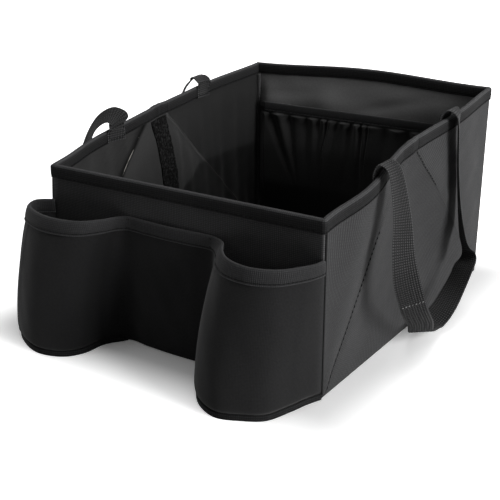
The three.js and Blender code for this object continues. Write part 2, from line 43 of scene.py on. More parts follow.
# Sizes in millimetres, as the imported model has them
HALF_WIDTH, HALF_DEPTH = 155.5, 186.5
FRONT_HEIGHT, APEX_HEIGHT, BACK_HEIGHT, APEX_Y = 167, 199, 218, -23.5
BACK_ARCH, BACK_BOW = 5, 4
CLOTH, BOARD, BASE_BOARD, LINING, GAP, TAPE = 0.8, 1.5, 2, 0.6, 0.3, 0.8
HEM, HEM_ROOM, SEAM_TAPE = 12, 14, 4
BOARD_OUT = CLOTH + GAP
BOARD_IN = BOARD_OUT + BOARD
LINING_OUT = BOARD_IN + GAP
LINING_IN = LINING_OUT + LINING
LAYER_FLOOR = CLOTH + GAP
FLOOR_TOP = LAYER_FLOOR + BASE_BOARD + GAP + LINING
LEFT_RADIUS, RIGHT_RADIUS, CORNER_REACH, CORNER_PULL = 0.8, 2.2, 1.8, 2.4
STITCH_LINE = 10.6
FOLD_STITCH_TOP, BACK_STITCH_LOW = 128, 142
SHARP_ANGLE, RIM_STEP = 35, 2.5


def lerp(a, b, t):
    return a + (b - a) * t


def smoothstep(a, b, x):
    t = np.clip((x - a) / (b - a), 0, 1)
    return t * t * (3 - 2 * t)


def swell(share):
    return np.sin(np.pi * np.clip(share, 0, 1)) ** 2


def arc(share):
    return 4 * share * (1 - share)


def peak(x, width):
    """1 at zero, falling off smoothly to both sides."""
    return np.exp(-(x / width) ** 2)


def unit(vectors):
    return vectors / np.linalg.norm(vectors, axis=1)[:, None]


def run(line):
    """Running length along a line of points."""
    return np.concatenate([[0], np.cumsum(np.linalg.norm(np.diff(line, axis=0), axis=1))])


def waves(x, y, seed, count=7, low=18.0, high=70.0):
    """Smooth seeded unevenness of about -1 to 1, for points in millimetres."""
    rng = np.random.default_rng(seed)
    total = 0
    for _ in range(count):
        angle, phase = rng.uniform(0, np.pi), rng.uniform(0, 2 * np.pi)
        length = rng.uniform(low, high)
        total = total + np.sin((x * np.cos(angle) + y * np.sin(angle)) * 2 * np.pi / length + phase)
    return total / count * 1.6


def xyz(x, y, z):
    """Points from three coordinates, each stretched to one common shape."""
    return np.stack(np.broadcast_arrays(x, y, z), -1)


def sewn_line(points, outward):
    """A line of stitches on points that all face one way."""
    return points, np.tile(outward, (len(points), 1))


# Meshes
def round_corners(p):
    """Rounds the four upright corners of the box for every layer alike. The front left one reaches out."""
    out = p.copy()
    x, y = p[..., 0], p[..., 1]
    radius = np.where(x < 0, LEFT_RADIUS, RIGHT_RADIUS)
    dx, dy = np.abs(x) - (HALF_WIDTH - radius), np.abs(y) - (HALF_DEPTH - radius)
    inside = (dx > 0) & (dy > 0) & (dx < 3 * radius) & (dy < 3 * radius)
    length = np.hypot(dx, dy) + 1e-9
    pull = np.where(inside, np.maximum(dx, dy) / length, 1)
    out[..., 0] = np.where(inside, np.sign(x) * (HALF_WIDTH - radius + dx * pull), x)
    out[..., 1] = np.where(inside, np.sign(y) * (HALF_DEPTH - radius + dy * pull), y)
    out[..., 0] -= corner_reach(x, y, p[..., 2])
    return out


def corner_reach(x, y, z):
    """How far the front left corner stands out to the left, more so where the cup pocket pulls on it."""
    reach = CORNER_REACH + CORNER_PULL * smoothstep(FRONT_HEIGHT, FRONT_HEIGHT - 40, z)
    return reach * smoothstep(30, 0, np.hypot(x + HALF_WIDTH, y + HALF_DEPTH))


def lengths(grid, axis):
    """Running length along one axis of a grid of points, averaged over the other."""
    steps = np.linalg.norm(np.diff(grid, axis=axis), axis=2).mean(axis=1 - axis)
    return np.concatenate([[0], np.cumsum(steps)])


def quads(ids, wrap=False):
    """Faces of a grid of vertex numbers."""
    if wrap:
        ids = np.vstack([ids, ids[:1]])
    return np.stack([ids[:-1, :-1], ids[1:, :-1], ids[1:, 1:], ids[:-1, 1:]], -1).reshape(-1, 4)


def make(name, points, faces, uv, material, tone=None):
    """A mesh object from points in millimetres, facing outward, with UVs in metres and a tone that is partly
    painted light and shade.
    """
    points = np.asarray(points, float)
    tri = faces[:, [0, 1, 2, 0, 2, 3]].reshape(-1, 3)
    a, b, c = (points[tri[:, k]] for k in range(3))
    if (a * np.cross(b, c)).sum() < 0:
        faces = faces[:, ::-1]
    mesh = bpy.data.meshes.new(name)
    mesh.vertices.add(len(points))
    mesh.vertices.foreach_set("co", (points * 0.001).astype(np.float32).ravel())
    mesh.loops.add(faces.size)
    mesh.loops.foreach_set("vertex_index", faces.astype(np.int32).ravel())
    mesh.polygons.add(len(faces))
    mesh.polygons.foreach_set("loop_start", np.arange(0, faces.size, 4, dtype=np.int32))
    mesh.update(calc_edges=True)
    mesh.validate()
    layer = mesh.uv_layers.new(name="UVMap")
    index = np.zeros(len(mesh.loops), np.int32)
    mesh.loops.foreach_get("vertex_index", index)
    layer.data.foreach_set("uv", (uv[index] * 0.001).astype(np.float32).ravel())
    shade = mesh.attributes.new("tone", "FLOAT", "POINT")
    tone = np.ones(len(points)) if tone is None else np.ravel(tone)
    shade.data.foreach_set("value", tone.astype(np.float32))
    mesh.polygons.foreach_set("use_smooth", np.ones(len(mesh.polygons), bool))
    mesh.set_sharp_from_angle(angle=math.radians(SHARP_ANGLE))
    mesh.materials.append(material)
    piece = bpy.data.objects.new(name, mesh)
    bpy.context.scene.collection.objects.link(piece)
    return piece


def sheet(name, slot, node, face, back, material, wrap=False, tone=None):
    """A closed thin sheet between two grids of points, which stands for a CAD node. wrap joins the last
    column to the first."""
    nu, nv = face.shape[:2]
    ids = np.arange(2 * nu * nv).reshape(2, nu, nv)
    parts = [quads(ids[0], wrap), quads(ids[1], wrap)[:, ::-1]]
    rim = lambda a, b: np.stack([a[:-1], b[:-1], b[1:], a[1:]], -1)
    for row in (0, -1):
        a, b = ids[0, :, row], ids[1, :, row]
        if wrap:
            a, b = np.append(a, a[0]), np.append(b, b[0])
        parts.append(rim(a, b) if row == 0 else rim(b, a))
    if not wrap:
        parts.append(rim(ids[1, 0], ids[0, 0]))
        parts.append(rim(ids[0, -1], ids[1, -1]))
    uv = np.stack(np.meshgrid(lengths(face, 0), lengths(face, 1), indexing="ij"), -1).reshape(-1, 2)
    points = np.concatenate([face.reshape(-1, 3), back.reshape(-1, 3)])
    if tone is not None:
        tone = np.tile(np.broadcast_to(tone, (nu, nv)).ravel(), 2)
    piece = make(name, points, np.concatenate(parts), np.concatenate([uv, uv]), material, tone)
    return finish_piece(piece, [node])


def stitches(name, lines, look, length=3.2, space=2.0, width=0.95):
    """One mesh of small sewn stitches along lines, each (points, outward directions) on a surface."""
    rings, around = np.array([0, 0.18, 0.5, 0.82, 1]), 6
    full = np.array([0.35, 0.85, 1, 0.85, 0.35]) * width / 2
    lift = np.array([-0.25, 0.1, 0.3, 0.1, -0.25]) * width
    points, faces, uvs, base = [], [], [], 0
    for line, out in lines:
        line, out = np.asarray(line, float), np.asarray(out, float)
        s = run(line)
        count = int((s[-1] + space) / (length + space))
        if count < 1:
            continue
        start = (s[-1] - count * (length + space) + space) / 2 + np.arange(count) * (length + space)
        at = (start[:, None] + rings[None] * length).ravel()
        centre = np.stack([np.interp(at, s, line[:, k]) for k in range(3)], -1)
        normal = np.stack([np.interp(at, s, out[:, k]) for k in range(3)], -1)
        before, after = (np.stack([np.interp(at + step, s, line[:, k]) for k in range(3)], -1)
                         for step in (-0.4, 0.4))
        ahead = after - before
        ahead = unit(ahead)
        normal -= ahead * (normal * ahead).sum(1)[:, None]
        normal = unit(normal)
        beside_it = np.cross(ahead, normal)
        size, rise = np.tile(full, count), np.tile(lift, count)
        angle = np.arange(around) * 2 * np.pi / around
        ring = normal[:, None] * np.cos(angle)[None, :, None]
        ring = ring + beside_it[:, None] * np.sin(angle)[None, :, None]
        p = centre[:, None] + normal[:, None] * rise[:, None, None] + ring * size[:, None, None]
        ids = base + np.arange(p.shape[0] * around).reshape(count, len(rings), around)
        for k in range(len(rings) - 1):
            a, b = ids[:, k], ids[:, k + 1]
            faces.append(np.stack([a, b, np.roll(b, -1, 1), np.roll(a, -1, 1)], -1).reshape(-1, 4))
        for end, order in ((0, (0, 1, 2, 3)), (0, (0, 3, 4, 5)), (-1, (3, 2, 1, 0)), (-1, (5, 4, 3, 0))):
            faces.append(ids[:, end][:, order])
        points.append(p.reshape(-1, 3))
        uvs.append(np.stack([np.repeat(at, around), np.tile(angle, len(at))], -1))
        base += len(points[-1])
    piece = make(name, np.concatenate(points), np.concatenate(faces), np.concatenate(uvs), look)
    return finish_piece(piece)


# Materials
def nodes_of(name):
    material = bpy.data.materials.new(name)
    material.use_nodes = True
    tree = material.node_tree
    return material, tree, tree.nodes["Principled BSDF"]


def value_node(tree, operation, *sources):
    """A Math node fed by numbers and by other nodes' outputs."""
    node = tree.nodes.new("ShaderNodeMath")
    node.operation = operation
    for socket, source in zip(node.inputs, sources):
        if isinstance(source, (int, float)):
            socket.default_value = source
        else:
            tree.links.new(source, socket)
    return node.outputs[0]


def noise_node(tree, vector, scale, detail):
    node = tree.nodes.new("ShaderNodeTexNoise")
    node.inputs["Scale"].default_value = scale
    node.inputs["Detail"].default_value = detail
    tree.links.new(vector, node.inputs["Vector"])
    return node.outputs["Fac"]


def rib(tree, coordinate, pitch):
    """Height 0 to 1 of parallel threads along one coordinate, in metres."""
    phase = value_node(tree, "MULTIPLY", coordinate, 2 * math.pi / pitch)
    return value_node(tree, "MULTIPLY_ADD", value_node(tree, "SINE", phase), 0.5, 0.5)


def fabric(name, color, roughness, weave, depth, mottle=0.25, sheen=0.2, fuzz=0.0, specular=0.03, grid=0.2):
    """A woven cloth. weave is the thread pitch (across, along) and depth the bump, in millimetres. grid is
    how much paler the raised threads are, and mottle how uneven the colour."""
    material, tree, shader = nodes_of(name)
    coords = tree.nodes.new("ShaderNodeTexCoord")
    split = tree.nodes.new("ShaderNodeSeparateXYZ")
    tree.links.new(coords.outputs["UV"], split.inputs[0])
    warp, weft = (rib(tree, split.outputs[k], weave[k] * 0.001) for k in (0, 1))
    threads = value_node(tree, "MULTIPLY", warp, weft)
    height = value_node(tree, "MULTIPLY", threads, 0.6)
    fine = noise_node(tree, coords.outputs["UV"], 900.0, 2.0)
    height = value_node(tree, "ADD", height, value_node(tree, "MULTIPLY", fine, 0.5 + fuzz))
    bump = tree.nodes.new("ShaderNodeBump")
    bump.inputs["Distance"].default_value = depth * 0.001
    bump.inputs["Strength"].default_value = 1.0
    tree.links.new(height, bump.inputs["Height"])
    tree.links.new(bump.outputs[0], shader.inputs["Normal"])

    broad = noise_node(tree, coords.outputs["Object"], 28.0, 4.0)
    grain = noise_node(tree, coords.outputs["UV"], 420.0, 3.0)
    tone = value_node(tree, "MULTIPLY_ADD", broad, mottle, 1.0 - mottle / 2)
    grain = value_node(tree, "MULTIPLY_ADD", grain, mottle * 1.6, 1.0 - mottle * 0.8)
    tone = value_node(tree, "MULTIPLY", tone, grain)
    raised = value_node(tree, "MULTIPLY_ADD", threads, 2 * grid, 1 - grid / 2)
    tone = value_node(tree, "MULTIPLY", tone, raised)
    # The tone attribute multiplies the colour: it carries painted light and shade as well as the cloth's own
    # colour changes.
    shade = tree.nodes.new("ShaderNodeAttribute")
    shade.attribute_name = "tone"
    tone = value_node(tree, "MULTIPLY", tone, shade.outputs["Fac"])
    tint = tree.nodes.new("ShaderNodeVectorMath")
    tint.operation = "SCALE"
    tint.inputs[0].default_value = color
    tree.links.new(tone, tint.inputs["Scale"])
    tree.links.new(tint.outputs[0], shader.inputs["Base Color"])

    rough = noise_node(tree, coords.outputs["Object"], 60.0, 2.0)
    rough = value_node(tree, "MULTIPLY_ADD", rough, 0.16, roughness - 0.08)
    tree.links.new(rough, shader.inputs["Roughness"])
    shader.inputs["Sheen Weight"].default_value = sheen
    shader.inputs["Sheen Roughness"].default_value = 0.5
    shader.inputs["Specular IOR Level"].default_value = specular
    return material


def grey(level, blue=0.0):
    return level, level, level + blue


outer_look = fabric("outer_cloth_weave", grey(0.046, 0.001), 0.8, (1.9, 1.7), 0.25, mottle=0.3, sheen=0.08,
                    grid=0.5)
lining_look = fabric("lining_cloth", grey(0.0315), 0.5, (0.9, 0.9), 0.05, sheen=0.1)
# The back lining is the lining cloth made about five times paler: painted light standing in for the light on
# the back wall's upper lining.
back_lining_painted_light_look = fabric("back_lining_cloth", grey(0.162), 0.5, (0.9, 0.9), 0.05, sheen=0.15)
pocket_look = fabric("pocket_cloth", grey(0.036), 0.45, (0.9, 0.9), 0.05, mottle=0.3, sheen=0.15)
rim_look = fabric("binding_tape", grey(0.0185, 0.0005), 0.75, (1.9, 1.9), 0.2, mottle=0.5, sheen=0.03,
                  specular=0.02, grid=0.5)
elastic_look = fabric("ribbed_elastic", grey(0.031, 0.001), 0.7, (1.9, 1.6), 0.15, mottle=0.4, sheen=0.08,
                      grid=0.35)
# The corner seam tape is the ribbed elastic made paler: painted light standing in for light reaching the
# inner corners.
seam_tape_painted_light_look = fabric("seam_tape", grey(0.05, 0.001), 0.7, (1.9, 1.6), 0.15, mottle=0.3, sheen=0.1, grid=0.35)
band_look = fabric("pocket_band", grey(0.03, 0.001), 0.6, (1.7, 1.4), 0.15)
stretch_look = fabric("stretch_knit", grey(0.0162, 0.0004), 0.85, (1.3, 1.3), 0.1, mottle=0.35, sheen=0.15)
webbing_look = fabric("handle_webbing", grey(0.0275, 0.0005), 0.66, (2.5, 2.5), 0.3, mottle=0.3, sheen=0.08,
                      grid=1.0)
strip_look = fabric("loop_pile", grey(0.005), 0.95, (1.6, 1.6), 0.8, mottle=1.2, sheen=0.0, fuzz=1.5,
                    specular=0.1)
board_look = fabric("stiffener_board", (0.30, 0.29, 0.27), 0.8, (2.0, 2.0), 0.03, mottle=0.1, sheen=0.0)
thread_look = fabric("sewing_thread", grey(0.003), 0.7, (0.5, 0.35), 0.05, sheen=0.0, specular=0.1)
pale_thread_look = fabric("pale_thread", grey(0.3), 0.6, (0.5, 0.35), 0.05, sheen=0.1)


def finish_piece(piece, replaces=()):
    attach(piece, "root")
    if replaces:
        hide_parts(*replaces)
    return piece


# Side walls
BOARD_INSET = 1.5
STRIP_LOW, STRIP_HIGH, STRIP_FOOT, STRIP_SEWN = 13, 12.5, 0.42, 0.86
CORNER_CLOTH = HALF_DEPTH - CLOTH - GAP
CORNER_LINING = HALF_DEPTH - LINING_IN - GAP
FOLD_FRONT = (-HALF_DEPTH + 8, APEX_Y - 17)
FOLD_CENTRE = (APEX_Y + 14, APEX_Y)
FOLD_BACK = (HALF_DEPTH - 8, APEX_Y + 17)
# Each side sets how dark the lining's painted shade in the hollow ahead of the front fold is; flap also
# paints a shadow below the left lining's loose flap.
SIDES = {
    "right": dict(sign=1, front_bow=8, back_bow=4, front_fold=1, back_fold=6, seed=11,
                  loose=1.4, groove=0.5, hollow_painted_shade=0.3, flap=0),
    "left": dict(sign=-1, front_bow=5, back_bow=5, front_fold=4, back_fold=0, seed=23,
                 loose=2.4, groove=1.0, hollow_painted_shade=0.95, flap=1),
}


def side_rim(y):
    """Height of a side wall's rim, which has its peak at APEX_Y."""
    front = lerp(FRONT_HEIGHT, APEX_HEIGHT, (y + HALF_DEPTH) / (APEX_Y + HALF_DEPTH))
    back = lerp(APEX_HEIGHT, BACK_HEIGHT, (y - APEX_Y) / (HALF_DEPTH - APEX_Y))
    return np.where(y < APEX_Y, front, back)


def fold_rise(z):
    """Share of the way from the floor up to the hem, along which the fold lines lean."""
    return np.minimum(z / (APEX_HEIGHT - HEM_ROOM), 1)


def side_slack(side, y, height, up):
    """How far a side wall stands out or in: bowed beyond its outer folds and drawn in between them."""
    rise = fold_rise(height)
    front_line, centre_line, back_line = (lerp(*fold, rise) for fold in (FOLD_FRONT, FOLD_CENTRE, FOLD_BACK))
    front_fold = side["front_fold"] * arc(rise)
    back_fold = side["back_fold"] * arc(rise)
    share = (y + CORNER_LINING) / (front_line + CORNER_LINING)
    front = side["front_bow"] * swell(share) * up + front_fold * np.maximum(share, 0)
    share = (CORNER_LINING - y) / (CORNER_LINING - back_line)
    back = side["back_bow"] * swell(share) * up + back_fold * np.maximum(share, 0)
    ahead = y < centre_line
    to_centre = np.where(ahead, (y - front_line) / (centre_line - front_line),
                         (back_line - y) / (back_line - centre_line))
    fold = np.where(ahead, front_fold, back_fold)
    centre = lerp(fold, -10 * arc(rise), np.sin(np.clip(to_centre, 0, 1) * np.pi / 2))
    return np.where(y < front_line, front, np.where(y > back_line, back, centre))


def side_columns(step):
    """Columns [y at the floor, y at the hem] that run along the folds, closer together beside them."""
    keys = [(-CORNER_CLOTH,) * 2, (-CORNER_LINING,) * 2, FOLD_FRONT, FOLD_CENTRE, FOLD_BACK,
            (CORNER_LINING,) * 2, (CORNER_CLOTH,) * 2]
    columns = []
    for a, b in zip(keys, keys[1:]):
        count = max(4, round((abs(b[0] - a[0]) + abs(b[1] - a[1])) / 2 / step))
        widest = max(abs(b[0] - a[0]), abs(b[1] - a[1]))
        near = np.array([0.6, 1.2, 2, 3, 4.2]) / widest if widest > 12 else np.array([])
        for share in sorted({*np.linspace(0, 1, count, endpoint=False), *near, *(1 - near)}):
            columns.append((lerp(a[0], b[0], share), lerp(a[1], b[1], share)))
    return np.array(columns + [keys[-1]])


def crease(y, z, line, width):
    """Share 0 to 1 of nearness to a fold line that leans from the floor to the hem."""
    at = lerp(line[0], line[1], fold_rise(z))
    return peak(y - at, width)


def sewn_share(z):
    """How firmly the front and the back fold are sewn at a height: the front below, the back above."""
    front = smoothstep(FOLD_STITCH_TOP + 20, FOLD_STITCH_TOP - 20, z)
    return front, smoothstep(BACK_STITCH_LOW - 25, BACK_STITCH_LOW + 10, z)


def side_ripple(side, y, z):
    """Small unevenness of a side wall, shared by its layers: soft waves, sewn folds and corner seams."""
    up = smoothstep(3, 30, z) * smoothstep(0, 14, side_rim(y) - z)
    ends = smoothstep(0, 20, HALF_DEPTH - np.abs(y))
    ripple = 0.45 * waves(y, z, side["seed"]) * up * ends
    for line, sewn in zip((FOLD_FRONT, FOLD_BACK), sewn_share(z)):
        groove = 0.55 * sewn * crease(y, z, line, 0.9) + 0.6 * crease(y, z, line, 6)
        ripple = ripple - groove * smoothstep(2, 20, z)
    return ripple - 0.9 * peak(CORNER_CLOTH - np.abs(y), 0.9)


def side_grid(side, depth, columns, rows, lining=0.0, low=0.0, inset=0.0):
    """Points of one face of a side wall's layer."""
    y0, y1 = columns[:, 0][:, None], columns[:, 1][:, None]
    rim = side_rim(y1) - inset
    z = np.maximum(rows[None, :] * rim, low)
    hem = side_rim(y1) - HEM_ROOM
    share = np.minimum(z / hem, 1)
    y = lerp(y0, y1, share)
    slack = side_slack(side, y, np.minimum(z, hem), share) * smoothstep(0, 12, z)
    slack = slack + side_ripple(side, y, z)
    if lining:
        slack = slack - lining * lining_ripple(side, y, z)
    x = side["sign"] * (HALF_WIDTH + slack - depth)
    return round_corners(xyz(x, y, z))


def side_painted_shade(y, z):
    """Painted shade: darker cloth in the sewn fold creases, softly beside the folds, and in the corner seam
    grooves.
    """
    low, high = sewn_share(z)
    folds = low * crease(y, z, FOLD_FRONT, 1.1) + high * crease(y, z, FOLD_BACK, 1.1)
    broad = crease(y, z, FOLD_FRONT, 6.6) + crease(y, z, FOLD_BACK, 6.6)
    corner = np.where(y < 0, smoothstep(4.4, 2.6, CORNER_CLOTH + y),
                      0.6 * smoothstep(1.6, 0.6, CORNER_CLOTH - y))
    return (1 - 0.35 * folds) * (1 - 0.1 * broad) * (1 - 0.92 * corner)


def sunken(side, y, z):
    """Share 0 to 1 of the part of the left lining that sinks back below its loose flap, behind the strip,
    which also gets a painted shadow.
    """
    below = np.minimum(y, 45) * 0.515 + 94 - z
    behind = smoothstep(2, 6, y - lerp(*FOLD_CENTRE, fold_rise(z)))
    return side["flap"] * smoothstep(-3, 3, below) * behind


def lining_painted_light_and_shade(side, y, z):
    """Painted light and shade on the lining: shade in the hollow ahead of its raised front fold, highlights
    along the fold edges.
    """
    rise = fold_rise(z)
    front, back = y - lerp(*FOLD_FRONT, rise), y - lerp(*FOLD_BACK, rise)
    hollow_painted_shade = peak(front + 4, np.where(front < -4, 6.5, 3))
    # painted highlights on the loose flap and along the back fold's edge
    flap = np.where(front > 0, 0.3 * peak(front, 20), 0)
    line = flap + 1.3 * peak(back + 1.2, 1.3)
    # painted shade along the seam just behind the back fold
    seam = 0.5 * peak(back - 1.6, 1.6)
    # painted light and dark streaks of soft folds ahead of the front fold
    streak = 1 + 0.22 * waves(y, z * 0.08, side["seed"] + 31, 6, 9, 34) * smoothstep(0, -10, front)
    # painted shade over the lining behind the back fold
    back_fold_painted_shade = 1 - 0.4 * smoothstep(0, 3, back)
    # painted shadow below the left lining's loose flap
    shade = 1 - 0.65 * sunken(side, y, z)
    return (1 - side["hollow_painted_shade"] * hollow_painted_shade) * (1 + line) * (1 - seam) * streak * back_fold_painted_shade * shade


def lining_ripple(side, y, z):
    """How far the loose lining stands off the boards: upright waves, and a raised edge at each fold."""
    up = smoothstep(4, 40, z) * smoothstep(0, 25, side_rim(y) - HEM - z)
    long = 0.5 + 0.5 * waves(y * 2.4, z * 0.3, side["seed"] + 5, low=26, high=80)
    rise = fold_rise(z)
    front, back = y - lerp(*FOLD_FRONT, rise), y - lerp(*FOLD_BACK, rise)
    edge = smoothstep(6, 40, z) * smoothstep(0, 12, side_rim(y) - HEM - z)
    groove = peak(front + 4, 4)
    thin = peak(back, 1.4) + 0.35 * np.exp(-np.abs(back) / 12)
    near = 1 - peak(front, 16)
    flap = 1.6 * side["flap"] * smoothstep(0, 40, z) - 1.6 * sunken(side, y, z)
    flap = flap * smoothstep(0, 25, y - lerp(*FOLD_CENTRE, rise)) * smoothstep(0, 25, -back) * edge
    soft = side["loose"] * np.clip(long, 0, 1.2) * up * near
    return soft + (1.1 * thin - side["groove"] * groove) * edge + flap


def add_side_cloth(name, side):
    columns = side_columns(3.6)
    rows = np.linspace(0, 1, 62)
    inner = columns[(np.abs(columns[:, 0]) <= CORNER_LINING + 0.01)]
    skin, back = side_grid(side, 0, columns, rows), side_grid(side, CLOTH, columns, rows)
    cloth = sheet(f"side_panel_{name}", "outer_cloth", f"side_cloth_{name}", skin, back, outer_look,
                  tone=side_painted_shade(skin[..., 1], skin[..., 2]))
    skin, back = (side_grid(side, depth, inner, rows, 1, LAYER_FLOOR) for depth in (LINING_IN, LINING_OUT))
    lining = sheet(f"side_lining_cloth_{name}", "lining", f"side_lining_{name}", back, skin, lining_look,
                   tone=lining_painted_light_and_shade(side, skin[..., 1], skin[..., 2]))


def add_side_boards(name, side):
    """The four boards of a side wall, between the front edge, its three folds and the back edge."""
    keys = np.array([(-CORNER_LINING,) * 2, FOLD_FRONT, FOLD_CENTRE, FOLD_BACK, (CORNER_LINING,) * 2])
    starts, ends = keys[:-1].copy(), keys[1:].copy()
    starts[1:] += BOARD_INSET
    ends[:-1] -= BOARD_INSET
    rows = np.linspace(0, 1, 16)
    for part, a, b in zip(("front_corner", "centre_front", "centre_back", "back_corner"), starts, ends):
        columns = lerp(a[None], b[None], np.linspace(0, 1, 10)[:, None])
        faces = [side_grid(side, depth, columns, rows, low=LAYER_FLOOR, inset=HEM_ROOM)
                 for depth in (BOARD_OUT, BOARD_IN)]
        sheet(f"stiffener_{name}_{part}", "board", f"side_board_{name}_{part}", *faces, board_look)


def strip_column(share):
    """Place across the strip, -1 to 1, as a column from the floor to the hem."""
    return np.stack([FOLD_CENTRE[0] + STRIP_LOW * share, FOLD_CENTRE[1] + STRIP_HIGH * share], -1)


def add_strip(name, side):
    """The strip of loop pile on the middle of the lining, rough with seeded tufts, and its sewing."""
    columns, rows = strip_column(np.linspace(-1, 1, 39)), np.linspace(STRIP_FOOT, 1, 120)
    face, back = (side_grid(side, LINING_IN + GAP + depth, columns, rows, 1, inset=HEM_ROOM)
                  for depth in (1, 0))
    rng = np.random.default_rng(side["seed"])
    pile = 0.6 * rng.random(face.shape[:2]) + 0.6 * waves(face[..., 1], face[..., 2], side["seed"], 9, 3, 9)
    face[..., 0] -= side["sign"] * np.clip(pile, 0, 1.2)
    tufts = np.kron(rng.random((20, 60)), np.ones((2, 2)))[:len(columns), :len(rows)]
    sheet(f"hook_loop_{name}", "loop_strip", f"loop_strip_{name}", face, back, strip_look,
          tone=0.3 + 4.5 * tufts ** 3)
    lines = []
    for share in (-STRIP_SEWN, STRIP_SEWN):
        column = strip_column(np.array([share]))
        line = side_grid(side, LINING_IN + GAP + 1.3, column, rows, 1, inset=HEM_ROOM)[0]
        lines.append(sewn_line(line, [-side["sign"], 0, 0]))
    stitches(f"strip_stitching_{name}", lines, thread_look)


def add_side(name):
    side = SIDES[name]
    add_side_cloth(name, side)
    add_side_boards(name, side)
    add_strip(name, side)
    lines = []
    rows = np.linspace(0.02, 0.995, 200)
    for fold in (FOLD_FRONT, FOLD_BACK):
        line = side_grid(side, 0, np.array([fold]), rows, 0, LAYER_FLOOR, HEM)[0]
        sewn = line[:, 2] < FOLD_STITCH_TOP if fold is FOLD_FRONT else line[:, 2] > BACK_STITCH_LOW
        lines.append(sewn_line(line[sewn], [side["sign"], 0, 0]))
    stitches(f"fold_stitching_{name}", lines, thread_look)


# Front and back walls
def end_share(x):
    """Share of the way across the inside, from left to right."""
    return (x + HALF_WIDTH - BOARD_OUT) / (2 * (HALF_WIDTH - BOARD_OUT))


def end_rim(sign, x):
    """Height of the front (sign -1) or back wall's rim: the back one rises in the middle."""
    if sign < 0:
        return np.full_like(x, float(FRONT_HEIGHT))
    return BACK_HEIGHT + BACK_ARCH * swell(end_share(x))


def end_grid(sign, depth, half, rows, low=0.0, inset=0.0, step=4.0, lean=0.0):
    """Points of one face of an end wall's layer. lean is how far a loose lining comes forward."""
    x = np.linspace(-half, half, int(2 * half / step) + 1)
    tight = half - np.array([0.5, 1, 1.6, 2.3])
    x = np.sort(np.concatenate([x, tight, -tight]))[:, None]
    rim = end_rim(sign, x)
    z = np.maximum(rows[None, :] * (rim - inset), low)
    bow = 0
    if sign > 0:
        bow = BACK_BOW * swell(end_share(x)) * np.minimum(z / (rim - HEM_ROOM), 1) * smoothstep(0, 12, z)
    up = smoothstep(3, 30, z) * smoothstep(0, 14, rim - z) * smoothstep(0, 25, HALF_WIDTH - np.abs(x))
    ripple = 0.35 * waves(x, z, 31 + sign) * up
    if lean:
        below = rim - HEM - z
        droop = smoothstep(0, 34, below) * smoothstep(100, 45, below)
        droop = droop * smoothstep(0, 22, HALF_WIDTH - np.abs(x))
        drape = 1 + 0.25 * waves(x + 1.6 * z, z * 1.2 - x * 0.35, 77, 5, 50, 120)
        valley = peak(z - 176 - 0.27 * (x - 5), 5) * smoothstep(-30, 40, x)
        valley = valley + 0.6 * peak(z - 181 - 0.1 * (x + 150), 5) * smoothstep(-40, -90, x)
        ripple = ripple - lean * droop * drape + 2.8 * valley * droop
    y = sign * (HALF_DEPTH + bow + ripple - depth)
    return round_corners(xyz(x, y, z))


def add_end(name, sign):
    rows = np.linspace(0, 1, 52)
    inside = HALF_WIDTH - BOARD_OUT
    skin = end_grid(sign, 0, HALF_WIDTH, rows)
    # Painted highlight along the rounded corners of both end walls above about 130 mm, and painted shade
    # along the front corners below it, beside the cup panel.
    edge = peak(HALF_WIDTH - np.abs(skin[..., 0]) - 1.2, 1.4)
    z = skin[..., 2]
    edge = edge * (0.9 * smoothstep(126, 132, z) - 0.7 * smoothstep(134, 126, z) * (sign < 0))
    back = end_grid(sign, CLOTH, HALF_WIDTH, rows)
    cloth = sheet(f"{name}_panel", "outer_cloth", f"{name}_cloth", skin, back, outer_look, tone=1 + edge)
    board_rows = np.linspace(0, 1, 16)
    faces = [end_grid(sign, depth, inside, board_rows, LAYER_FLOOR, HEM_ROOM, 12)
             for depth in (BOARD_OUT, BOARD_IN)]
    sheet(f"stiffener_{name}", "board", f"{name}_board", *faces, board_look)
    lean = 6.5 if sign > 0 else 0.0
    faces = [end_grid(sign, depth, inside, rows, LAYER_FLOOR, lean=lean) for depth in (LINING_OUT, LINING_IN)]
    # the back wall's lining gets the paler, painted-light copy of the lining cloth
    look = back_lining_painted_light_look if sign > 0 else lining_look
    lining = sheet(f"{name}_lining_cloth", "lining", f"{name}_lining", *faces, look)


def flat_layer(name, slot, node, edge, bottom, thickness, look, step, lift=None):
    """A level sheet over the base, edge inside the walls' outer faces."""
    x, y = (np.linspace(edge - half, half - edge, int(2 * half / step)) for half in (HALF_WIDTH, HALF_DEPTH))
    x, y = np.meshgrid(x, y, indexing="ij")
    rise = 0 if lift is None else lift(x, y)
    top, low = (round_corners(xyz(x, y, level + rise)) for level in (bottom + thickness, bottom))
    return sheet(name, slot, node, top, low, look)


def base_rise(x, y):
    edge = smoothstep(0, 30, np.minimum(HALF_WIDTH - np.abs(x), HALF_DEPTH - np.abs(y)))
    return 0.6 * np.clip(0.5 + 0.5 * waves(x, y, 41, low=40, high=140), 0, 1) * edge


def add_base():
    inside = LINING_IN + GAP
    under = flat_layer("base_panel", "outer_cloth", "base_cloth", CLOTH + GAP, 0, CLOTH, outer_look, 9.0)
    flat_layer("stiffener_base", "board", "base_board", inside, LAYER_FLOOR, BASE_BOARD, board_look, 9.0)
    top = flat_layer("base_lining_cloth", "lining", "base_lining", inside, LAYER_FLOOR + BASE_BOARD + GAP,
                     LINING, lining_look, 5.0, base_rise)


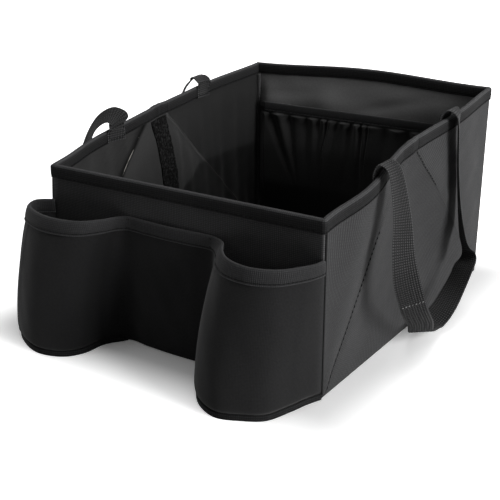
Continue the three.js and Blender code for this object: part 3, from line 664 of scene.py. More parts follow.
# Folded tapes
def tape_section(wall, drop):
    """Outer and inner face of a folded tape: [distance outward, height above the edge] from the outer
    lower edge over the fold to the inner lower edge, with more rows beside the stitch line."""
    faces = []
    stitched = min(STITCH_LINE, drop - 2)
    near, above = np.array([1.5, 0.8, 0.35, 0, -0.4, -1]), np.array([0.7, 0.45])
    depths = np.concatenate([[drop], stitched + near, stitched * above])
    count = len(depths)
    for skin in (GAP + TAPE, GAP):
        reach, middle = (wall + 2 * skin) / 2, -wall / 2
        crown = min(reach, 2.2)
        turn = np.linspace(0, np.pi, 9)
        over = np.stack([middle + reach * np.cos(turn), skin - crown + crown * np.sin(turn)], -1)
        side = -depths
        faces.append(np.concatenate([
            np.stack([np.full(count, middle + reach), side], -1), over,
            np.stack([np.full(count, middle - reach), side[::-1]], -1)]))
    return faces


def tape_relief(up, seam, drop):
    """How far a tape stands out at a height: padded above its stitch line, drawn in along it."""
    depth = np.clip(-up, 0, drop)
    above = 0.3 * np.sin(np.pi * np.clip(depth / seam, 0, 1))
    below = 0.35 * np.sin(np.pi * np.clip((depth - seam) / (drop - seam), 0, 1))
    return above + below - 0.4 * peak(depth - seam, 0.6)


def rim_out(side, y):
    """Outer face of the rim at a place along a side wall, and its height."""
    rim = side_rim(np.array(float(y)))
    slack = side_slack(side, np.array(float(y)), rim - HEM_ROOM, np.array(1.0))
    return HALF_WIDTH + float(slack), float(rim)


def rim_path():
    """Points of the outer face along the rim with their outward direction, once round."""
    pts, outs = [], []
    keys = side_columns(RIM_STEP)[:, 1]
    ys = keys[np.abs(keys) < HALF_DEPTH - RIGHT_RADIUS]
    xs = np.linspace(-HALF_WIDTH + LEFT_RADIUS, HALF_WIDTH - RIGHT_RADIUS, int(2 * HALF_WIDTH / RIM_STEP))

    def corner(sx, sy, start):
        for k in range(1, 6):
            angle = math.radians(start + 90 * k / 6)
            d = np.array([math.cos(angle), math.sin(angle)])
            radius = LEFT_RADIUS if sx < 0 else RIGHT_RADIUS
            p = np.array([sx * (HALF_WIDTH - radius), sy * (HALF_DEPTH - radius)]) + d * radius
            z = FRONT_HEIGHT if sy < 0 else BACK_HEIGHT
            pts.append([p[0], p[1], z])
            outs.append([d[0], d[1]])

    def side(sign, order):
        s = SIDES["right" if sign > 0 else "left"]
        for y in order:
            rim = float(side_rim(np.array(y)))
            slack = float(side_slack(s, np.array(y), np.array(rim - HEM_ROOM), np.array(1.0)))
            slack += float(side_ripple(s, np.array(y), np.array(rim - 1.0)))
            pts.append([sign * (HALF_WIDTH + slack), y, rim])
            outs.append([sign, 0])

    for x in xs:
        pts.append([x, -HALF_DEPTH, FRONT_HEIGHT])
        outs.append([0, -1])
    corner(1, -1, -90)
    side(1, ys)
    corner(1, 1, 0)
    for x in xs[::-1]:
        rim = float(end_rim(1, np.array([x]))[0])
        bow = BACK_BOW * float(swell(end_share(x)))
        pts.append([x, HALF_DEPTH + bow, rim])
        outs.append([0, 1])
    corner(-1, 1, 90)
    side(-1, ys[::-1])
    corner(-1, -1, 180)
    pts = np.array(pts, float)
    pts[:, 0] -= corner_reach(pts[:, 0], pts[:, 1], pts[:, 2])
    return pts, np.array(outs, float)


def tape_along(name, slot, node, path, outs, wall, drop, look, wrap=False, bunch=0.0):
    """A folded tape along a path. bunch is how much its cloth is gathered at each place."""
    outer, inner = tape_section(wall, drop)
    s = run(path)
    wobble = 0.25 * waves(s, s * 0.0, 3, low=9, high=60)
    lumps = bunch * np.array([0.5 + 0.5 * waves(s, s * 0, 10 + k, 5, 4, 11) for k in range(2)])
    grids = []
    for section in (outer, inner):
        out, up = section[:, 0][None], section[:, 1][None]
        low = np.clip(-up / drop, 0, 1)
        outward = np.sign(out + wall / 2)
        lump = np.where(outward > 0, lumps[0][:, None], lumps[1][:, None])
        z = path[:, 2][:, None] + up + wobble[:, None] * low * 0.6 + 0.8 * lumps[0][:, None] * (1 - low)
        away = out + outward * (tape_relief(up, STITCH_LINE, drop) + lump) + 0.1 * wobble[:, None]
        x, y = (path[:, k][:, None] + outs[:, k][:, None] * away for k in (0, 1))
        grids.append(xyz(x, y, z))
    # Painted shade in the groove along the stitch line and a painted highlight along the top fold.
    depth = np.clip(-outer[:, 1], 0, drop)
    tone = 1 - 0.45 * peak(depth - STITCH_LINE, 0.8) + 2.6 * peak(depth, 0.8)
    return sheet(name, slot, node, *grids, look, wrap=wrap, tone=tone[None])


def add_rim():
    path, outs = rim_path()
    along_side = np.abs(outs[:, 0]) > 0.9
    bunch = 0.9 * peak(path[:, 1] - APEX_Y, 8) * along_side
    tape_along("rim_tape", "tape", "rim_binding", path, outs, LINING_IN, HEM, rim_look, True, bunch)

    lines = []
    face = GAP + TAPE - 0.35
    closed, facing = np.vstack([path, path[:1]]), np.vstack([outs, outs[:1]])
    for away, sign in ((face, 1), (-LINING_IN - face, -1)):
        line = closed.copy()
        line[:, :2] += facing * away
        line[:, 2] -= STITCH_LINE
        lines.append((line, np.column_stack([facing * sign, np.zeros(len(facing))])))
    ups = np.linspace(-STITCH_LINE, 0.2, 20)
    marks = [(x, sy, d) for x in (-1, 1) for sy in (-1, 1) for d in (3, 5.5)]
    for sx, sy, inset in marks:
        z = (FRONT_HEIGHT if sy < 0 else BACK_HEIGHT) + ups
        for out, sign in ((face + 0.15, 1), (-LINING_IN - face - 0.15, -1)):
            line = xyz(sx * (HALF_WIDTH - inset), sy * (HALF_DEPTH + out), z)
            lines.append(sewn_line(line, [0, sy * sign, 0]))
    for side in SIDES.values():
        y = APEX_Y - 3
        out, rim_z = rim_out(side, y)
        for away, sign in ((face + 0.5, 1), (-LINING_IN - face - 0.5, -1)):
            line = xyz(side["sign"] * (out + away), y, rim_z + ups)
            lines.append(sewn_line(line, [side["sign"] * sign, 0, 0]))
    stitches("rim_stitching", lines, thread_look)


def add_corner_tapes():
    x, y = HALF_WIDTH - LINING_IN - GAP, HALF_DEPTH - LINING_IN - GAP
    turn = np.linspace(0, np.pi / 2, 7)
    for end, sy, rim in (("front", -1, FRONT_HEIGHT), ("back", 1, BACK_HEIGHT)):
        for name, sx in (("left", -1), ("right", 1)):
            z = np.linspace(FLOOR_TOP + GAP, rim - HEM - GAP - SEAM_TAPE / 4, 70)
            fold = 0.4 * waves(z, z * 0, 50 + sx + 2 * sy, low=12, high=60)
            hub = SEAM_TAPE - 1.6
            bend = np.stack([x - hub - 1.6 * np.sin(turn), y - hub - 1.6 * np.cos(turn)], -1)
            section = np.concatenate([[[x, y - SEAM_TAPE]], bend, [[x - SEAM_TAPE, y]]])
            face = np.stack([xyz(sx * (section[:, 0] + f * 0.3), sy * (section[:, 1] + f * 0.3), h)
                             for f, h in zip(fold, z)])
            back = face.copy()
            back[..., 0], back[..., 1] = sx * x, sy * y
            back[:, 0, 1] = sy * (y - SEAM_TAPE + 0.2)
            back[:, -1, 0] = sx * (x - SEAM_TAPE + 0.2)
            # the seam tape gets the paler, painted-light copy of the elastic
            sheet(f"seam_tape_{end}_{name}", "tape", f"corner_tape_{end}_{name}", face, back, seam_tape_painted_light_look)


# Cup pockets
PANEL, PANEL_HEIGHT, PANEL_BINDING = 1.6, 132, 12.5
CUP_RIM_DEPTH, CUP_FLOOR_DEPTH, CUP_TUCK, CUP_ROUND = 46, 75, 3, 10
CUP_LIP, CUP_LIP_TAPE, CUP_LIP_PROUD, CUP_BASE = 5.5, 2.6, 1, 1.2
CREASE_OUT = GAP + TAPE + GAP + PANEL
CUPS = {
    "left": dict(sign=-1, width=98.5, floor_crease=0.93, end=0.035,
                 rim=[(-0.14, 0.26), (-0.1, 0.58), (0.12, 0.86), (0.41, 0.98), (0.705, 0.83), (0.84, 0.5),
                      (0.93, 0.15)],
                 floor=[(-0.14, 0.27), (-0.165, 0.62), (0.075, 0.88), (0.38, 1.01), (0.645, 0.9),
                        (0.76, 0.68), (0.8, 0.32)]),
    "right": dict(sign=1, width=114.5, floor_crease=0.98, end=-0.004,
                  rim=[(0.01, 0.2), (0.05, 0.42), (0.19, 0.87), (0.4, 1.04), (0.63, 0.88), (0.77, 0.55),
                       (0.86, 0.22)],
                  floor=[(0.03, 0.2), (0.08, 0.46), (0.17, 0.8), (0.33, 0.96), (0.52, 1.06), (0.74, 0.92),
                         (0.91, 0.6)]),
}


def cup_plan(cup, z):
    """Points [x, out] of a cup pocket's outline at a height: narrower and rounder at the rim."""
    lift = z / PANEL_HEIGHT
    rim_share = lift ** 2
    low = min(max((CUP_LIP + CUP_ROUND - z) / CUP_ROUND, 0), 1)
    inset = CUP_TUCK * (1 - math.sqrt(1 - low ** 2))
    pull = 1 - inset / lerp(CUP_FLOOR_DEPTH, CUP_RIM_DEPTH, rim_share)
    place = lambda share: cup["sign"] * (HALF_WIDTH - share * cup["width"])
    inner = []
    for (across, out), (low_across, low_out) in zip(cup["rim"], cup["floor"]):
        wide = 0.5 + (lerp(low_across, across, rim_share) - 0.5) * pull
        far = lerp(low_out * CUP_FLOOR_DEPTH, out * CUP_RIM_DEPTH, rim_share) * pull
        inner.append((place(wide), max(far, CREASE_OUT)))
    return [(place(cup["end"]), -0.6), *inner, (place(lerp(cup["floor_crease"], 1, rim_share)), CREASE_OUT)]


def panel_plan(z):
    """The whole panel's outline at a height: left cup, the slack middle and right cup."""
    left, right = cup_plan(CUPS["left"], z), cup_plan(CUPS["right"], z)[::-1]
    a, b = left[-1][0], right[0][0]
    slack = [(lerp(a, b, s), CREASE_OUT + 1.5 * swell(s)) for s in (0.25, 0.5, 0.75)]
    return [*left, *slack, *right]


def curve(points, at, power=0.25):
    """Points on a Catmull-Rom curve: power 0.25 is centripetal, 0 uniform."""
    points = np.asarray(points, float)
    ends = [2 * points[0] - points[1], *points, 2 * points[-1] - points[-2]]
    p = np.array(ends)
    at = np.clip(np.asarray(at, float), 0, 1) * (len(points) - 1)
    k = np.minimum(np.floor(at).astype(int), len(points) - 2)
    t = (at - k)[:, None]
    p0, p1, p2, p3 = (p[k + j] for j in range(4))
    if power:
        dt = [np.maximum(((b - a) ** 2).sum(1) ** power, 1e-4)[:, None]
              for a, b in ((p0, p1), (p1, p2), (p2, p3))]
        t1 = (p1 - p0) / dt[0] - (p2 - p0) / (dt[0] + dt[1]) + (p2 - p1) / dt[1]
        t2 = (p2 - p1) / dt[1] - (p3 - p1) / (dt[1] + dt[2]) + (p3 - p2) / dt[2]
        t1, t2 = t1 * dt[1], t2 * dt[1]
    else:
        t1, t2 = (p2 - p0) / 2, (p3 - p1) / 2
    return p1 + t1 * t + (-3 * p1 + 3 * p2 - 2 * t1 - t2) * t ** 2 + (2 * p1 - 2 * p2 + t1 + t2) * t ** 3


def plan_line(plan, count):
    """Points [x, out] of a plan and their outward normals."""
    at = curve(plan, np.linspace(0, 1, count))
    along = unit(np.gradient(at, axis=0))
    return at, np.stack([-along[:, 1], along[:, 0]], -1)


def beside(at, normal, outward, z, least=GAP):
    """Points beside a plan line at a height, never nearer to the front wall than least."""
    x = at[:, 0] + normal[:, 0] * outward
    out = np.maximum(at[:, 1] + normal[:, 1] * outward, least)
    return xyz(x - corner_reach(x, -HALF_DEPTH - out, z), -HALF_DEPTH - out, z)


def add_cup_panel():
    top = PANEL_HEIGHT - TAPE - GAP
    count = 241
    levels = np.linspace(0.6, top, 70)
    plans = np.array([plan_line(panel_plan(z), count) for z in levels])
    rise = np.concatenate([np.linspace(0, 0.1, 10), np.linspace(0.1, 1, 40)[1:]])
    places = plans[0, 0, :, 0]
    creases = [-HALF_WIDTH + CUPS["left"]["width"] * 0.8, HALF_WIDTH - CUPS["right"]["width"] * 0.98]
    centre = smoothstep(creases[0] - 6, creases[0] + 3, places)
    centre = centre * smoothstep(creases[1] + 6, creases[1] - 3, places)
    bottom = lerp(CUP_LIP + GAP, 0.8, centre)
    from_end = np.minimum(np.abs(places + HALF_WIDTH), np.abs(places - HALF_WIDTH))
    roll = peak(from_end, 2.4)
    face, back = [], []
    for share in rise:
        z = lerp(bottom, top, share)
        k = (z - levels[0]) / (levels[1] - levels[0])
        low = np.minimum(k.astype(int), len(levels) - 2)
        t = (k - low)[:, None]
        column = np.arange(count)
        at, normal = (lerp(plans[low, kind, column], plans[low + 1, kind, column], t) for kind in (0, 1))
        seam = -1.2 * peak(z - CUP_LIP - GAP, 1.5) * (1 - centre)
        soft = 0.35 * waves(at[:, 0] * 1.5, z, 91, low=25, high=90) * smoothstep(0, 20, z)
        soft = soft * smoothstep(0, 12, from_end)
        face.append(beside(at, normal, seam + soft + 0.6 * roll, z))
        back.append(beside(at, normal, seam + soft - PANEL, z, GAP - 1.4 * roll))
    # Painted highlight on the rolled ends, painted shade along the seam at the foot of the cups and in the
    # left cup's crease.
    edge = 1 + 0.7 * roll[:, None] * np.ones(len(rise))[None]
    hem = 1 - 0.5 * peak(rise[None] - 0.005, 0.012) * (1 - centre[:, None])
    crease_painted_shade = 1 - 0.25 * peak(places - creases[0] + 3, 1.6)[:, None]
    face, back = np.stack(face, 1), np.stack(back, 1)
    panel = sheet("cup_pocket_panel", "stretch_cloth", "cup_panel", face, back, stretch_look,
                  tone=edge * hem * crease_painted_shade)


def add_cup_binding():
    """The elastic along the cup panel's rim, ribbed towards the right cup, and its sewing."""
    top = PANEL_HEIGHT - TAPE - GAP
    outer, inner = tape_section(PANEL, PANEL_BINDING)
    even, coarse = np.linspace(0, 1, 1201), np.linspace(0, 1, 601)
    at, normal = plan_line(panel_plan(top), len(even))
    s = run(at)
    ribbed = 0.03 + 0.13 * smoothstep(60, 95, at[:, 0])
    ribs = ribbed * (np.sin(s * 2 * np.pi / 1.7) - 1)
    roll = peak(np.minimum(s, s[-1] - s), 2.4)
    grids = []
    for section, sign in ((outer, 1), (inner, 0)):
        columns = []
        for out, up in section:
            z = top + up
            a, n = (np.stack([np.interp(even, coarse, part[:, j]) for j in range(2)], -1)
                    for part in plan_line(panel_plan(min(z, PANEL_HEIGHT)), len(coarse)))
            outward = 1 if out > -PANEL / 2 else -1
            relief = outward * tape_relief(np.array(up), STITCH_LINE, PANEL_BINDING) * 1.3
            columns.append(beside(a, n, out + relief + sign * outward * ribs, z, GAP - 1.4 * roll))
        grids.append(np.stack(columns, 1))
    # Painted shade in the groove along the stitch line, and painted highlights on the padded band just below
    # it, along the top fold and on the rolled ends.
    depth = np.clip(-outer[:, 1], 0, PANEL_BINDING)
    tone = 1 - 0.5 * peak(depth - STITCH_LINE, 0.7) + 0.55 * peak(depth - STITCH_LINE - 1.5, 0.6)
    tone = tone + 0.3 * peak(depth, 0.8)
    tone = tone[None] * (1 + 0.4 * roll[:, None])
    sheet("cup_pocket_elastic", "tape", "cup_binding", *grids, elastic_look, tone=tone)

    lines = []
    z = top - STITCH_LINE
    a, n = plan_line(panel_plan(z), 601)
    lines.append((beside(a, n, GAP + TAPE - 0.45, z), np.column_stack([n[:, 0], -n[:, 1], 0 * n[:, 0]])))
    ups = np.linspace(-STITCH_LINE, 0, 16)
    for crease_x in (-HALF_WIDTH + CUPS["left"]["width"], HALF_WIDTH - CUPS["right"]["width"]):
        for shift in (-1.2, 1.2):
            k = np.argmin(np.abs(a[:, 0] - crease_x - shift))
            line = np.array([beside(a[k:k + 1], n[k:k + 1], GAP + TAPE + 0.1, top + up)[0] for up in ups])
            lines.append(sewn_line(line, [n[k, 0], -n[k, 1], 0]))
    stitches("cup_stitching", lines, thread_look, 2.4, 1.6, 0.7)


def add_cup_base(name):
    cup = CUPS[name]
    plan = [(cup["sign"] * x, out) for x, out in cup_plan(cup, CUP_LIP)]
    at, normal = plan_line(plan, 201)
    turn = np.linspace(0, np.pi, 11)
    half = CUP_LIP_TAPE / 2
    middle = half - CUP_LIP_PROUD
    over = [(middle - half * math.cos(a), CUP_LIP - half + half * math.sin(a)) for a in turn]
    section = [(middle - half, 0.0), *over, (middle + half, 0.0)]
    s = run(at)
    wobble = 0.35 * waves(s, s * 0, 61 if name == "left" else 62, low=7, high=40)
    full = 1 - 0.75 * peak(s[-1] - s, 6)
    rows = {"face": [], "back": []}
    for out, up in section:
        rim = 0.25 * math.sin(math.pi * up / CUP_LIP)
        away, height = middle + (out - middle) * full - rim + wobble * (up > 1), min(up, CUP_LIP - half)
        rows["face"].append(beside(at, normal, away, up * full))
        rows["back"].append(beside(at, normal, middle + (out - middle) * 0.25, height * 0.9 * full))
    face, back = np.stack(rows["face"], 1), np.stack(rows["back"], 1)
    for grid in (face, back):
        grid[..., 0] *= cup["sign"]
        grid[..., 0] -= corner_reach(grid[..., 0], grid[..., 1], grid[..., 2])
    sheet(f"cup_lip_{name}", "tape", f"cup_base_binding_{name}", face, back, rim_look)

    inside = CUP_LIP_TAPE - CUP_LIP_PROUD - 0.1
    edge = beside(at, normal, inside, 0)
    centre_x = np.linspace(edge[0, 0], edge[-1, 0], len(edge))
    grids = []
    for z in (CUP_BASE, 0.0):
        rows = []
        for share in np.linspace(0, 1, 8):
            x = lerp(centre_x, edge[:, 0], share)
            y = lerp(-HALF_DEPTH + 0.3, edge[:, 1], share)
            x = cup["sign"] * x
            rows.append(xyz(x - corner_reach(x, y, z), y, z))
        grids.append(np.stack(rows, 1))
    sheet(f"cup_floor_{name}", "stretch_cloth", f"cup_base_{name}", *grids, stretch_look)


# Handles
WEBBING, WEBBING_WIDTH, WEBBING_PITCH, HANDLE_SEAM_HEIGHT = 1.6, 25, 2.5, 68
HANDLE_FRONT_Y, HANDLE_BACK_Y, HANDLE_OVERLAP, HANDLE_LOW = -91.5, 66, 13, 9.5
IN_FACE = -(LINING_IN + GAP + TAPE + GAP + WEBBING / 2)
HANDLES = {
    "right": dict(
        front=[(IN_FACE, 0, -13, 0), (IN_FACE, 0, 3, 0), (1, 0, 10.5, 0), (9, 0, 7, 0)],
        loop=[(27, -0.02, 0.81, 12), (34.5, -0.07, 0.6, 29), (39, -0.065, 0.46, 46), (42, 0.02, 0.29, 49),
              (38.5, 0.18, 0.15, 48), (29, 0.35, 0.03, 49), (24.5, 0.55, 0, 56), (29, 0.68, 0.05, 77),
              (29.5, 0.83, 0.11, 103), (30, 0.97, 0.19, 117), (27, 1.09, 0.25, 130), (20, 1.1, 0.34, 141),
              (14, 1.09, 0.52, 151), (11, 1.06, 0.73, 155)],
        back=[(7.5, 2, -6, -22), (7, 1, 4, -14), (1, 0, 9, -4), (IN_FACE, 0, 3, 0), (IN_FACE, 0, -13, 0)]),
    "left": dict(
        front=[(IN_FACE, 0, -13, 0, 0), (IN_FACE, 0, -3, 0, 0), (IN_FACE - 1.2, 0, 3, 6, 0),
               (-12, -3, 12.5, 8, 22),
               (-5, -7, 16, 12, 30), (5, -12, 11, 26, 24), (13.5, -18, -2, 44, 8)],
        loop=[(22, -0.165, 0.84, 62), (28, -0.15, 0.63, 57), (35, -0.1, 0.45, 52), (39, 0.02, 0.29, 50),
              (37, 0.18, 0.15, 49), (29, 0.35, 0.03, 50), (24.5, 0.55, 0, 58), (29, 0.68, 0.05, 80),
              (29.5, 0.81, 0.11, 106), (29, 0.91, 0.2, 122), (25, 0.95, 0.31, 142), (21, 0.93, 0.46, 166),
              (18.5, 0.89, 0.62, 192), (18.5, 0.86, 0.78, 214), (19.5, 0.88, 0.89, 220)],
        back=[(13.5, -11, -4, 35), (10, -3.5, 5, 28), (5, -1, 10, 8), (-2, 0, 9, -4),
              (IN_FACE - 1.5, 0, 4, 0),
              (IN_FACE, 0, -3, 0), (IN_FACE, 0, -13, 0)]),
}


def handle_keys(side, route):
    """Places, turn and roll along a handle, as on the right side: over the rim, down, up and back inside."""
    keys = []

    def at_rim(y, rows, full):
        low, high = rim_out(side, y - WEBBING_WIDTH / 2)[0], rim_out(side, y + WEBBING_WIDTH / 2)[0]
        lean = math.degrees(math.atan2(high - low, WEBBING_WIDTH))
        x, z = (low + high) / 2, rim_out(side, y)[1]
        for out, along, up, turn, *roll in rows:
            turn = full + turn + (lean if out == IN_FACE else 0)
            keys.append((x + out, y + along, z + up, turn, *(roll or [0])))
        return z

    front_z, back_z = rim_out(side, HANDLE_FRONT_Y)[1], rim_out(side, HANDLE_BACK_Y)[1]
    at_rim(HANDLE_FRONT_Y, route["front"], 0)
    for out, along, up, turn in route["loop"]:
        rim = front_z if along < 0.5 else back_z
        y = lerp(HANDLE_FRONT_Y, HANDLE_BACK_Y, along)
        keys.append((HALF_WIDTH + out, y, lerp(HANDLE_LOW, rim, up), turn, 0))
    at_rim(HANDLE_BACK_Y, route["back"], 180)
    return np.array(keys, float)


def handle_frame(name, count):
    """Centre line of a handle with its directions across and through, evenly spaced by length."""
    side = SIDES[name]
    keys = handle_keys(side, HANDLES[name])
    share = np.linspace(0, 1, 2000)
    line = curve(keys[:, :3], share)
    s = run(line)
    even = np.interp(np.linspace(0, s[-1], count), s, share)
    at = curve(keys[:, :3], even)
    turn, roll = np.radians(curve(keys[:, 3:], even, 0)).T
    along = unit(np.gradient(at, axis=0))
    across = np.stack([np.sin(turn), np.cos(turn), 0 * turn], -1)
    across -= along * (across * along).sum(1)[:, None]
    across = unit(across)
    through = np.cross(along, across)
    across, through = (across * np.cos(roll)[:, None] + through * np.sin(roll)[:, None],
                       through * np.cos(roll)[:, None] - across * np.sin(roll)[:, None])
    return at, across, through, s[-1]


def add_handle(name):
    side = SIDES[name]
    count, wide = 600, 37
    at, across, through, length = handle_frame(name, count)
    a = np.linspace(-1, 1, wide)
    s = np.linspace(0, length, count)[:, None]
    w = a[None] * WEBBING_WIDTH / 2
    cell = np.floor((w + WEBBING_WIDTH / 2) / WEBBING_PITCH)
    weave = 0.26 * np.sin(s * 2 * np.pi / WEBBING_PITCH + np.pi * (cell % 2))
    weave = weave - 0.16 * np.cos((w + WEBBING_WIDTH / 2) * 2 * np.pi / WEBBING_PITCH)
    seam_at = s[np.argmax(at[:, 2] < HANDLE_SEAM_HEIGHT), 0]
    seam = 0.5 * peak(s - seam_at - 1, 0.9) - 0.4 * peak(s - seam_at + 1, 0.6)
    selvedge = 1 - np.abs(a[None]) ** 14
    half = WEBBING / 2 * (1 - 0.55 * np.abs(a[None]) ** 14)
    cup = 0.35 * (a[None] ** 2 - 0.33) * np.sin(np.linspace(0, 9, count))[:, None]
    grids = []
    for sign in (1, -1):
        t = sign * (half - 0.2 + (weave + seam) * selvedge) + cup
        p = at[:, None] + across[:, None] * w[..., None] + through[:, None] * t[..., None]
        p[..., 0] *= side["sign"]
        grids.append(p)
    tone = (1 + 0.8 * (weave + 0.1)) * (1 + 0.7 * peak(1 - np.abs(a[None]), 0.05))
    sheet(f"webbing_{name}", "webbing", f"handle_{name}", *grids, webbing_look, tone=tone)

    lines = []
    edge = WEBBING_WIDTH / 2 - 2

    def line_of(places):
        return tuple(np.array(part) for part in zip(*places))

    def place(k, w, sign):
        p = at[k] + across[k] * w + through[k] * sign * (WEBBING / 2 + 0.15)
        out = through[k] * sign
        return p * [side["sign"], 1, 1], out * [side["sign"], 1, 1]

    step = length / (count - 1)
    for first in (True, False):
        ks = [int(round(d / step)) for d in (2.5, HANDLE_OVERLAP + 4.5)]
        if not first:
            ks = [count - 1 - k for k in ks]
        sign = 1 if through[ks[0], 0] < 0 else -1
        low, high = sorted(ks)
        runs = np.arange(low, high + 1)
        lines += [line_of([place(k, w, sign) for k in runs]) for w in (-edge, edge)]
        lines += [line_of([place(k, w, sign) for w in np.linspace(-edge, edge, 30)]) for k in ks]
    stitches(f"handle_stitching_{name}", lines, thread_look, 2.6, 1.4, 0.8)
    k = int(seam_at / step)
    lines = [line_of([place(k, w, sign) for w in np.linspace(-edge - 1, edge + 1, 30)]) for sign in (1, -1)]
    stitches(f"handle_seam_{name}", lines, pale_thread_look, 2.0, 1.2, 0.9)


# Inner pocket
POCKET_FLOOR, POCKET_HEIGHT, POCKET_BAND, POCKET_CLOTH = 28, 172, 12.5, 0.8
GATHERS, BAND_OUT = 15, 7
# How far the pocket stands out, at shares of the way up to its band
POCKET_BELLY = ((0, 0.3, 0.7, 0.95, 1, 1.2), (0, 10.6, 11.2, 7.5, BAND_OUT, BAND_OUT))
POCKET_HALF = HALF_WIDTH - LINING_IN - GAP - SEAM_TAPE - GAP
POCKET_WALL = HALF_DEPTH - LINING_IN - GAP


def end_ramp(x):
    return np.minimum((POCKET_HALF - np.abs(x)) / 12, 1)


def add_pocket():
    top = POCKET_HEIGHT - TAPE - GAP
    drop = POCKET_BAND - 2
    band = top - drop
    seat = TAPE + GAP
    x = np.linspace(-POCKET_HALF, POCKET_HALF, 351)[:, None]
    z = np.concatenate([np.linspace(POCKET_FLOOR, band - 34, 20), np.linspace(band - 34, top, 46)[1:]])[None]
    level = (z - POCKET_FLOOR) / (band - POCKET_FLOOR)
    belly = np.interp(level, *POCKET_BELLY)
    rng = np.random.default_rng(5)
    spacing = np.concatenate([[0], np.cumsum(rng.uniform(0.4, 1.8, GATHERS - 1))])
    centre = lerp(-POCKET_HALF + 3, POCKET_HALF - 3, spacing / spacing[-1])
    lean = rng.uniform(-38, 38, GATHERS)
    lean[1:-1] = (lean[:-2] + 2 * lean[1:-1] + lean[2:]) / 4
    size, reach = rng.uniform(2.0, 8.5, GATHERS), rng.uniform(16, 70, GATHERS)
    below = np.maximum(band - z[0], 0)
    folds = np.zeros((x.shape[0], z.shape[1]))
    for j, down in enumerate(below):
        spots = centre + lean * (down / 55)
        phase = np.interp(x[:, 0], spots, np.arange(GATHERS))
        fade = size * np.exp(-(down / reach) ** 1.6)
        height = np.interp(x[:, 0], spots, fade)
        ridge = (0.5 + 0.5 * np.cos(2 * np.pi * phase)) ** 0.7
        folds[:, j] = height * (ridge - 0.6)
    drawn = np.where(level > 1, 0, smoothstep(0, 3.0, band - z))
    puff = np.where(level > 1, 0, 3.0 * peak(band - z, 7) * smoothstep(0, 2.5, band - z))
    out = belly + (folds * 1.25 + puff) * drawn
    depth = np.maximum(seat + out * end_ramp(x), seat)

    faces = [xyz(x, POCKET_WALL - depth - extra, z) for extra in (POCKET_CLOTH, 0)]
    pocket = sheet("gathered_pocket", "lining", "inner_pocket", *faces, pocket_look)

    outer, inner = tape_section(POCKET_CLOTH, drop)
    xs = np.linspace(-POCKET_HALF, POCKET_HALF, 560)
    ribs = 0.05 * (np.sin(xs * 2 * np.pi / 1.6) - 1)
    pucker = 0.35 * waves(xs, xs * 0, 17, 6, 6, 16)
    grids = []
    for section, sign in ((outer, 1), (inner, 0)):
        out, up = section[:, 0][None], section[:, 1][None]
        outward = np.where(out > -POCKET_CLOTH / 2, 1, -1)
        relief = outward * (tape_relief(up, drop - 2, drop) + sign * ribs[:, None])
        low = np.clip(-up / drop, 0, 1)
        away = seat + BAND_OUT * end_ramp(xs)[:, None] + POCKET_CLOTH + out + relief + pucker[:, None] * low
        grids.append(xyz(xs[:, None], POCKET_WALL - away, top + up))
    sheet("pocket_elastic", "tape", "inner_pocket_elastic", *grids, band_look)

    away = seat + BAND_OUT * end_ramp(xs) + POCKET_CLOTH + TAPE + GAP + pucker * 0.8 - 0.2
    line = xyz(xs, POCKET_WALL - away, top - drop + 2)
    stitches("pocket_stitching", [sewn_line(line, [0, -1, 0])], thread_look, width=0.5)


for hand in ("left", "right"):
    add_side(hand)
add_end("front", -1)
add_end("back", 1)
add_base()
add_rim()
add_corner_tapes()
add_cup_panel()
add_cup_binding()
for hand in ("left", "right"):
    add_cup_base(hand)
for hand in ("left", "right"):
    add_handle(hand)
add_pocket()


# Camera, lamps and floor
LENS, CAMERA_DOWN, CAMERA_TURN = 67.71, 20.544, 33.642
LAMP_TARGET = Vector((0, 0, 0.1))
AMBIENT, FLOOR_WHITE, FLOOR_REACH = 0.035, 1.2, 12.0
# The floor's own glow is painted light, which whitens the floor and hides its shadows away from the box.
# It is in metres from a rectangle that follows the box: (middle, half) across and along,
# and the distances at which it is nothing and full
GLOW_BOX = ((0.0, HALF_WIDTH / 1000 + 0.014), (-0.012, HALF_DEPTH / 1000 + 0.012))
GLOW_NONE, GLOW_FULL = -0.015, 0.105

camera = bpy.data.objects.new("camera", bpy.data.cameras.new("camera"))
bpy.context.scene.collection.objects.link(camera)
camera.data.sensor_width = 36
camera.data.lens = LENS
camera.location = (0.5105, -0.8322, 0.4166)
camera.rotation_euler = (math.radians(90 - CAMERA_DOWN), 0, math.radians(CAMERA_TURN))
camera.data.clip_start, camera.data.clip_end = 0.01, 50
bpy.context.scene.camera = camera


def lamp(name, place, size, power):
    data = bpy.data.lights.new(name, "AREA")
    data.shape, data.size, data.energy = "DISK", size, power
    thing = bpy.data.objects.new(name, data)
    thing.location = place
    thing.rotation_euler = (LAMP_TARGET - thing.location).to_track_quat("-Z", "Y").to_euler()
    bpy.context.scene.collection.objects.link(thing)


def background_share(tree):
    """1 where a ray shows the background, straight, mirrored or through glass, and 0 where it lights."""
    path = tree.nodes.new("ShaderNodeLightPath")
    share = path.outputs["Is Camera Ray"]
    for ray in ("Is Glossy Ray", "Is Transmission Ray"):
        share = value_node(tree, "MAXIMUM", share, path.outputs[ray])
    return share


lamp("key", (2.6, -0.1, 1.05), 1.6, 78)
lamp("top", (0, 0.2, 2.6), 1.6, 12)
lamp("left", (-2.6, 0.2, 1.0), 1.4, 13)
lamp("front", (-1.2, -2.2, 1.2), 2.0, 4)
lamp("behind", (0.2, 2.6, 0.9), 1.4, 20)

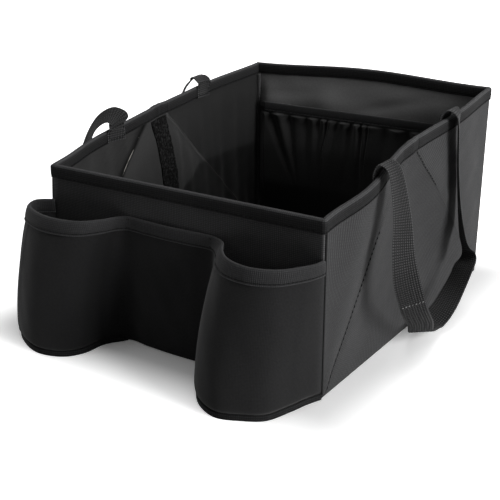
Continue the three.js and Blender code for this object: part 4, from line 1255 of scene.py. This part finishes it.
world = bpy.data.worlds.new("studio")
bpy.context.scene.world = world
world.use_nodes = True
world_tree = world.node_tree
ambient = world_tree.nodes["Background"]
ambient.inputs["Color"].default_value = (1, 1, 1, 1)
ambient.inputs["Strength"].default_value = AMBIENT
seen = world_tree.nodes.new("ShaderNodeBackground")
seen.inputs["Strength"].default_value = 1.0
seen.inputs["Color"].default_value = (1, 1, 1, 1)
mix = world_tree.nodes.new("ShaderNodeMixShader")
world_tree.links.new(background_share(world_tree), mix.inputs[0])
world_tree.links.new(ambient.outputs[0], mix.inputs[1])
world_tree.links.new(seen.outputs[0], mix.inputs[2])
world_tree.links.new(mix.outputs[0], world_tree.nodes["World Output"].inputs["Surface"])


def add_floor():
    mesh = bpy.data.meshes.new("floor")
    r = FLOOR_REACH
    mesh.from_pydata([(-r, -r, 0), (r, -r, 0), (r, r, 0), (-r, r, 0)], [], [(0, 1, 2, 3)])
    material, tree, shader = nodes_of("floor_paper")
    out = tree.nodes["Material Output"]
    shader.inputs["Base Color"].default_value = (0.62, 0.62, 0.62, 1)
    shader.inputs["Roughness"].default_value = 0.9
    shader.inputs["Specular IOR Level"].default_value = 0.0
    paper = tree.nodes.new("ShaderNodeBsdfDiffuse")
    paper.inputs["Color"].default_value = (FLOOR_WHITE, FLOOR_WHITE, FLOOR_WHITE, 1)
    # painted light: the floor glows white, fading out near the box so that only the shadow close to it shows
    glow = tree.nodes.new("ShaderNodeEmission")
    coords = tree.nodes.new("ShaderNodeTexCoord")
    split = tree.nodes.new("ShaderNodeSeparateXYZ")
    tree.links.new(coords.outputs["Object"], split.inputs[0])
    past = []
    for axis, (middle, half) in enumerate(GLOW_BOX):
        away = value_node(tree, "ABSOLUTE", value_node(tree, "SUBTRACT", split.outputs[axis], middle))
        away = value_node(tree, "MAXIMUM", value_node(tree, "SUBTRACT", away, half), 0.0)
        past.append(value_node(tree, "MULTIPLY", away, away))
    distance = value_node(tree, "SQRT", value_node(tree, "ADD", past[0], past[1]))
    far = tree.nodes.new("ShaderNodeMapRange")
    far.interpolation_type = "SMOOTHSTEP"
    for name, value in (("From Min", GLOW_NONE), ("From Max", GLOW_FULL), ("To Min", 0.0), ("To Max", 1.0)):
        far.inputs[name].default_value = value
    tree.links.new(distance, far.inputs["Value"])
    tree.links.new(far.outputs[0], glow.inputs["Strength"])
    add = tree.nodes.new("ShaderNodeAddShader")
    tree.links.new(paper.outputs[0], add.inputs[0])
    tree.links.new(glow.outputs[0], add.inputs[1])
    mix = tree.nodes.new("ShaderNodeMixShader")
    tree.links.new(background_share(tree), mix.inputs[0])
    tree.links.new(shader.outputs[0], mix.inputs[1])
    tree.links.new(add.outputs[0], mix.inputs[2])
    tree.links.new(mix.outputs[0], out.inputs["Surface"])
    mesh.materials.append(material)
    floor = bpy.data.objects.new("floor", mesh)
    bpy.context.scene.collection.objects.link(floor)


add_floor()
bpy.context.scene.view_settings.view_transform = "Standard"
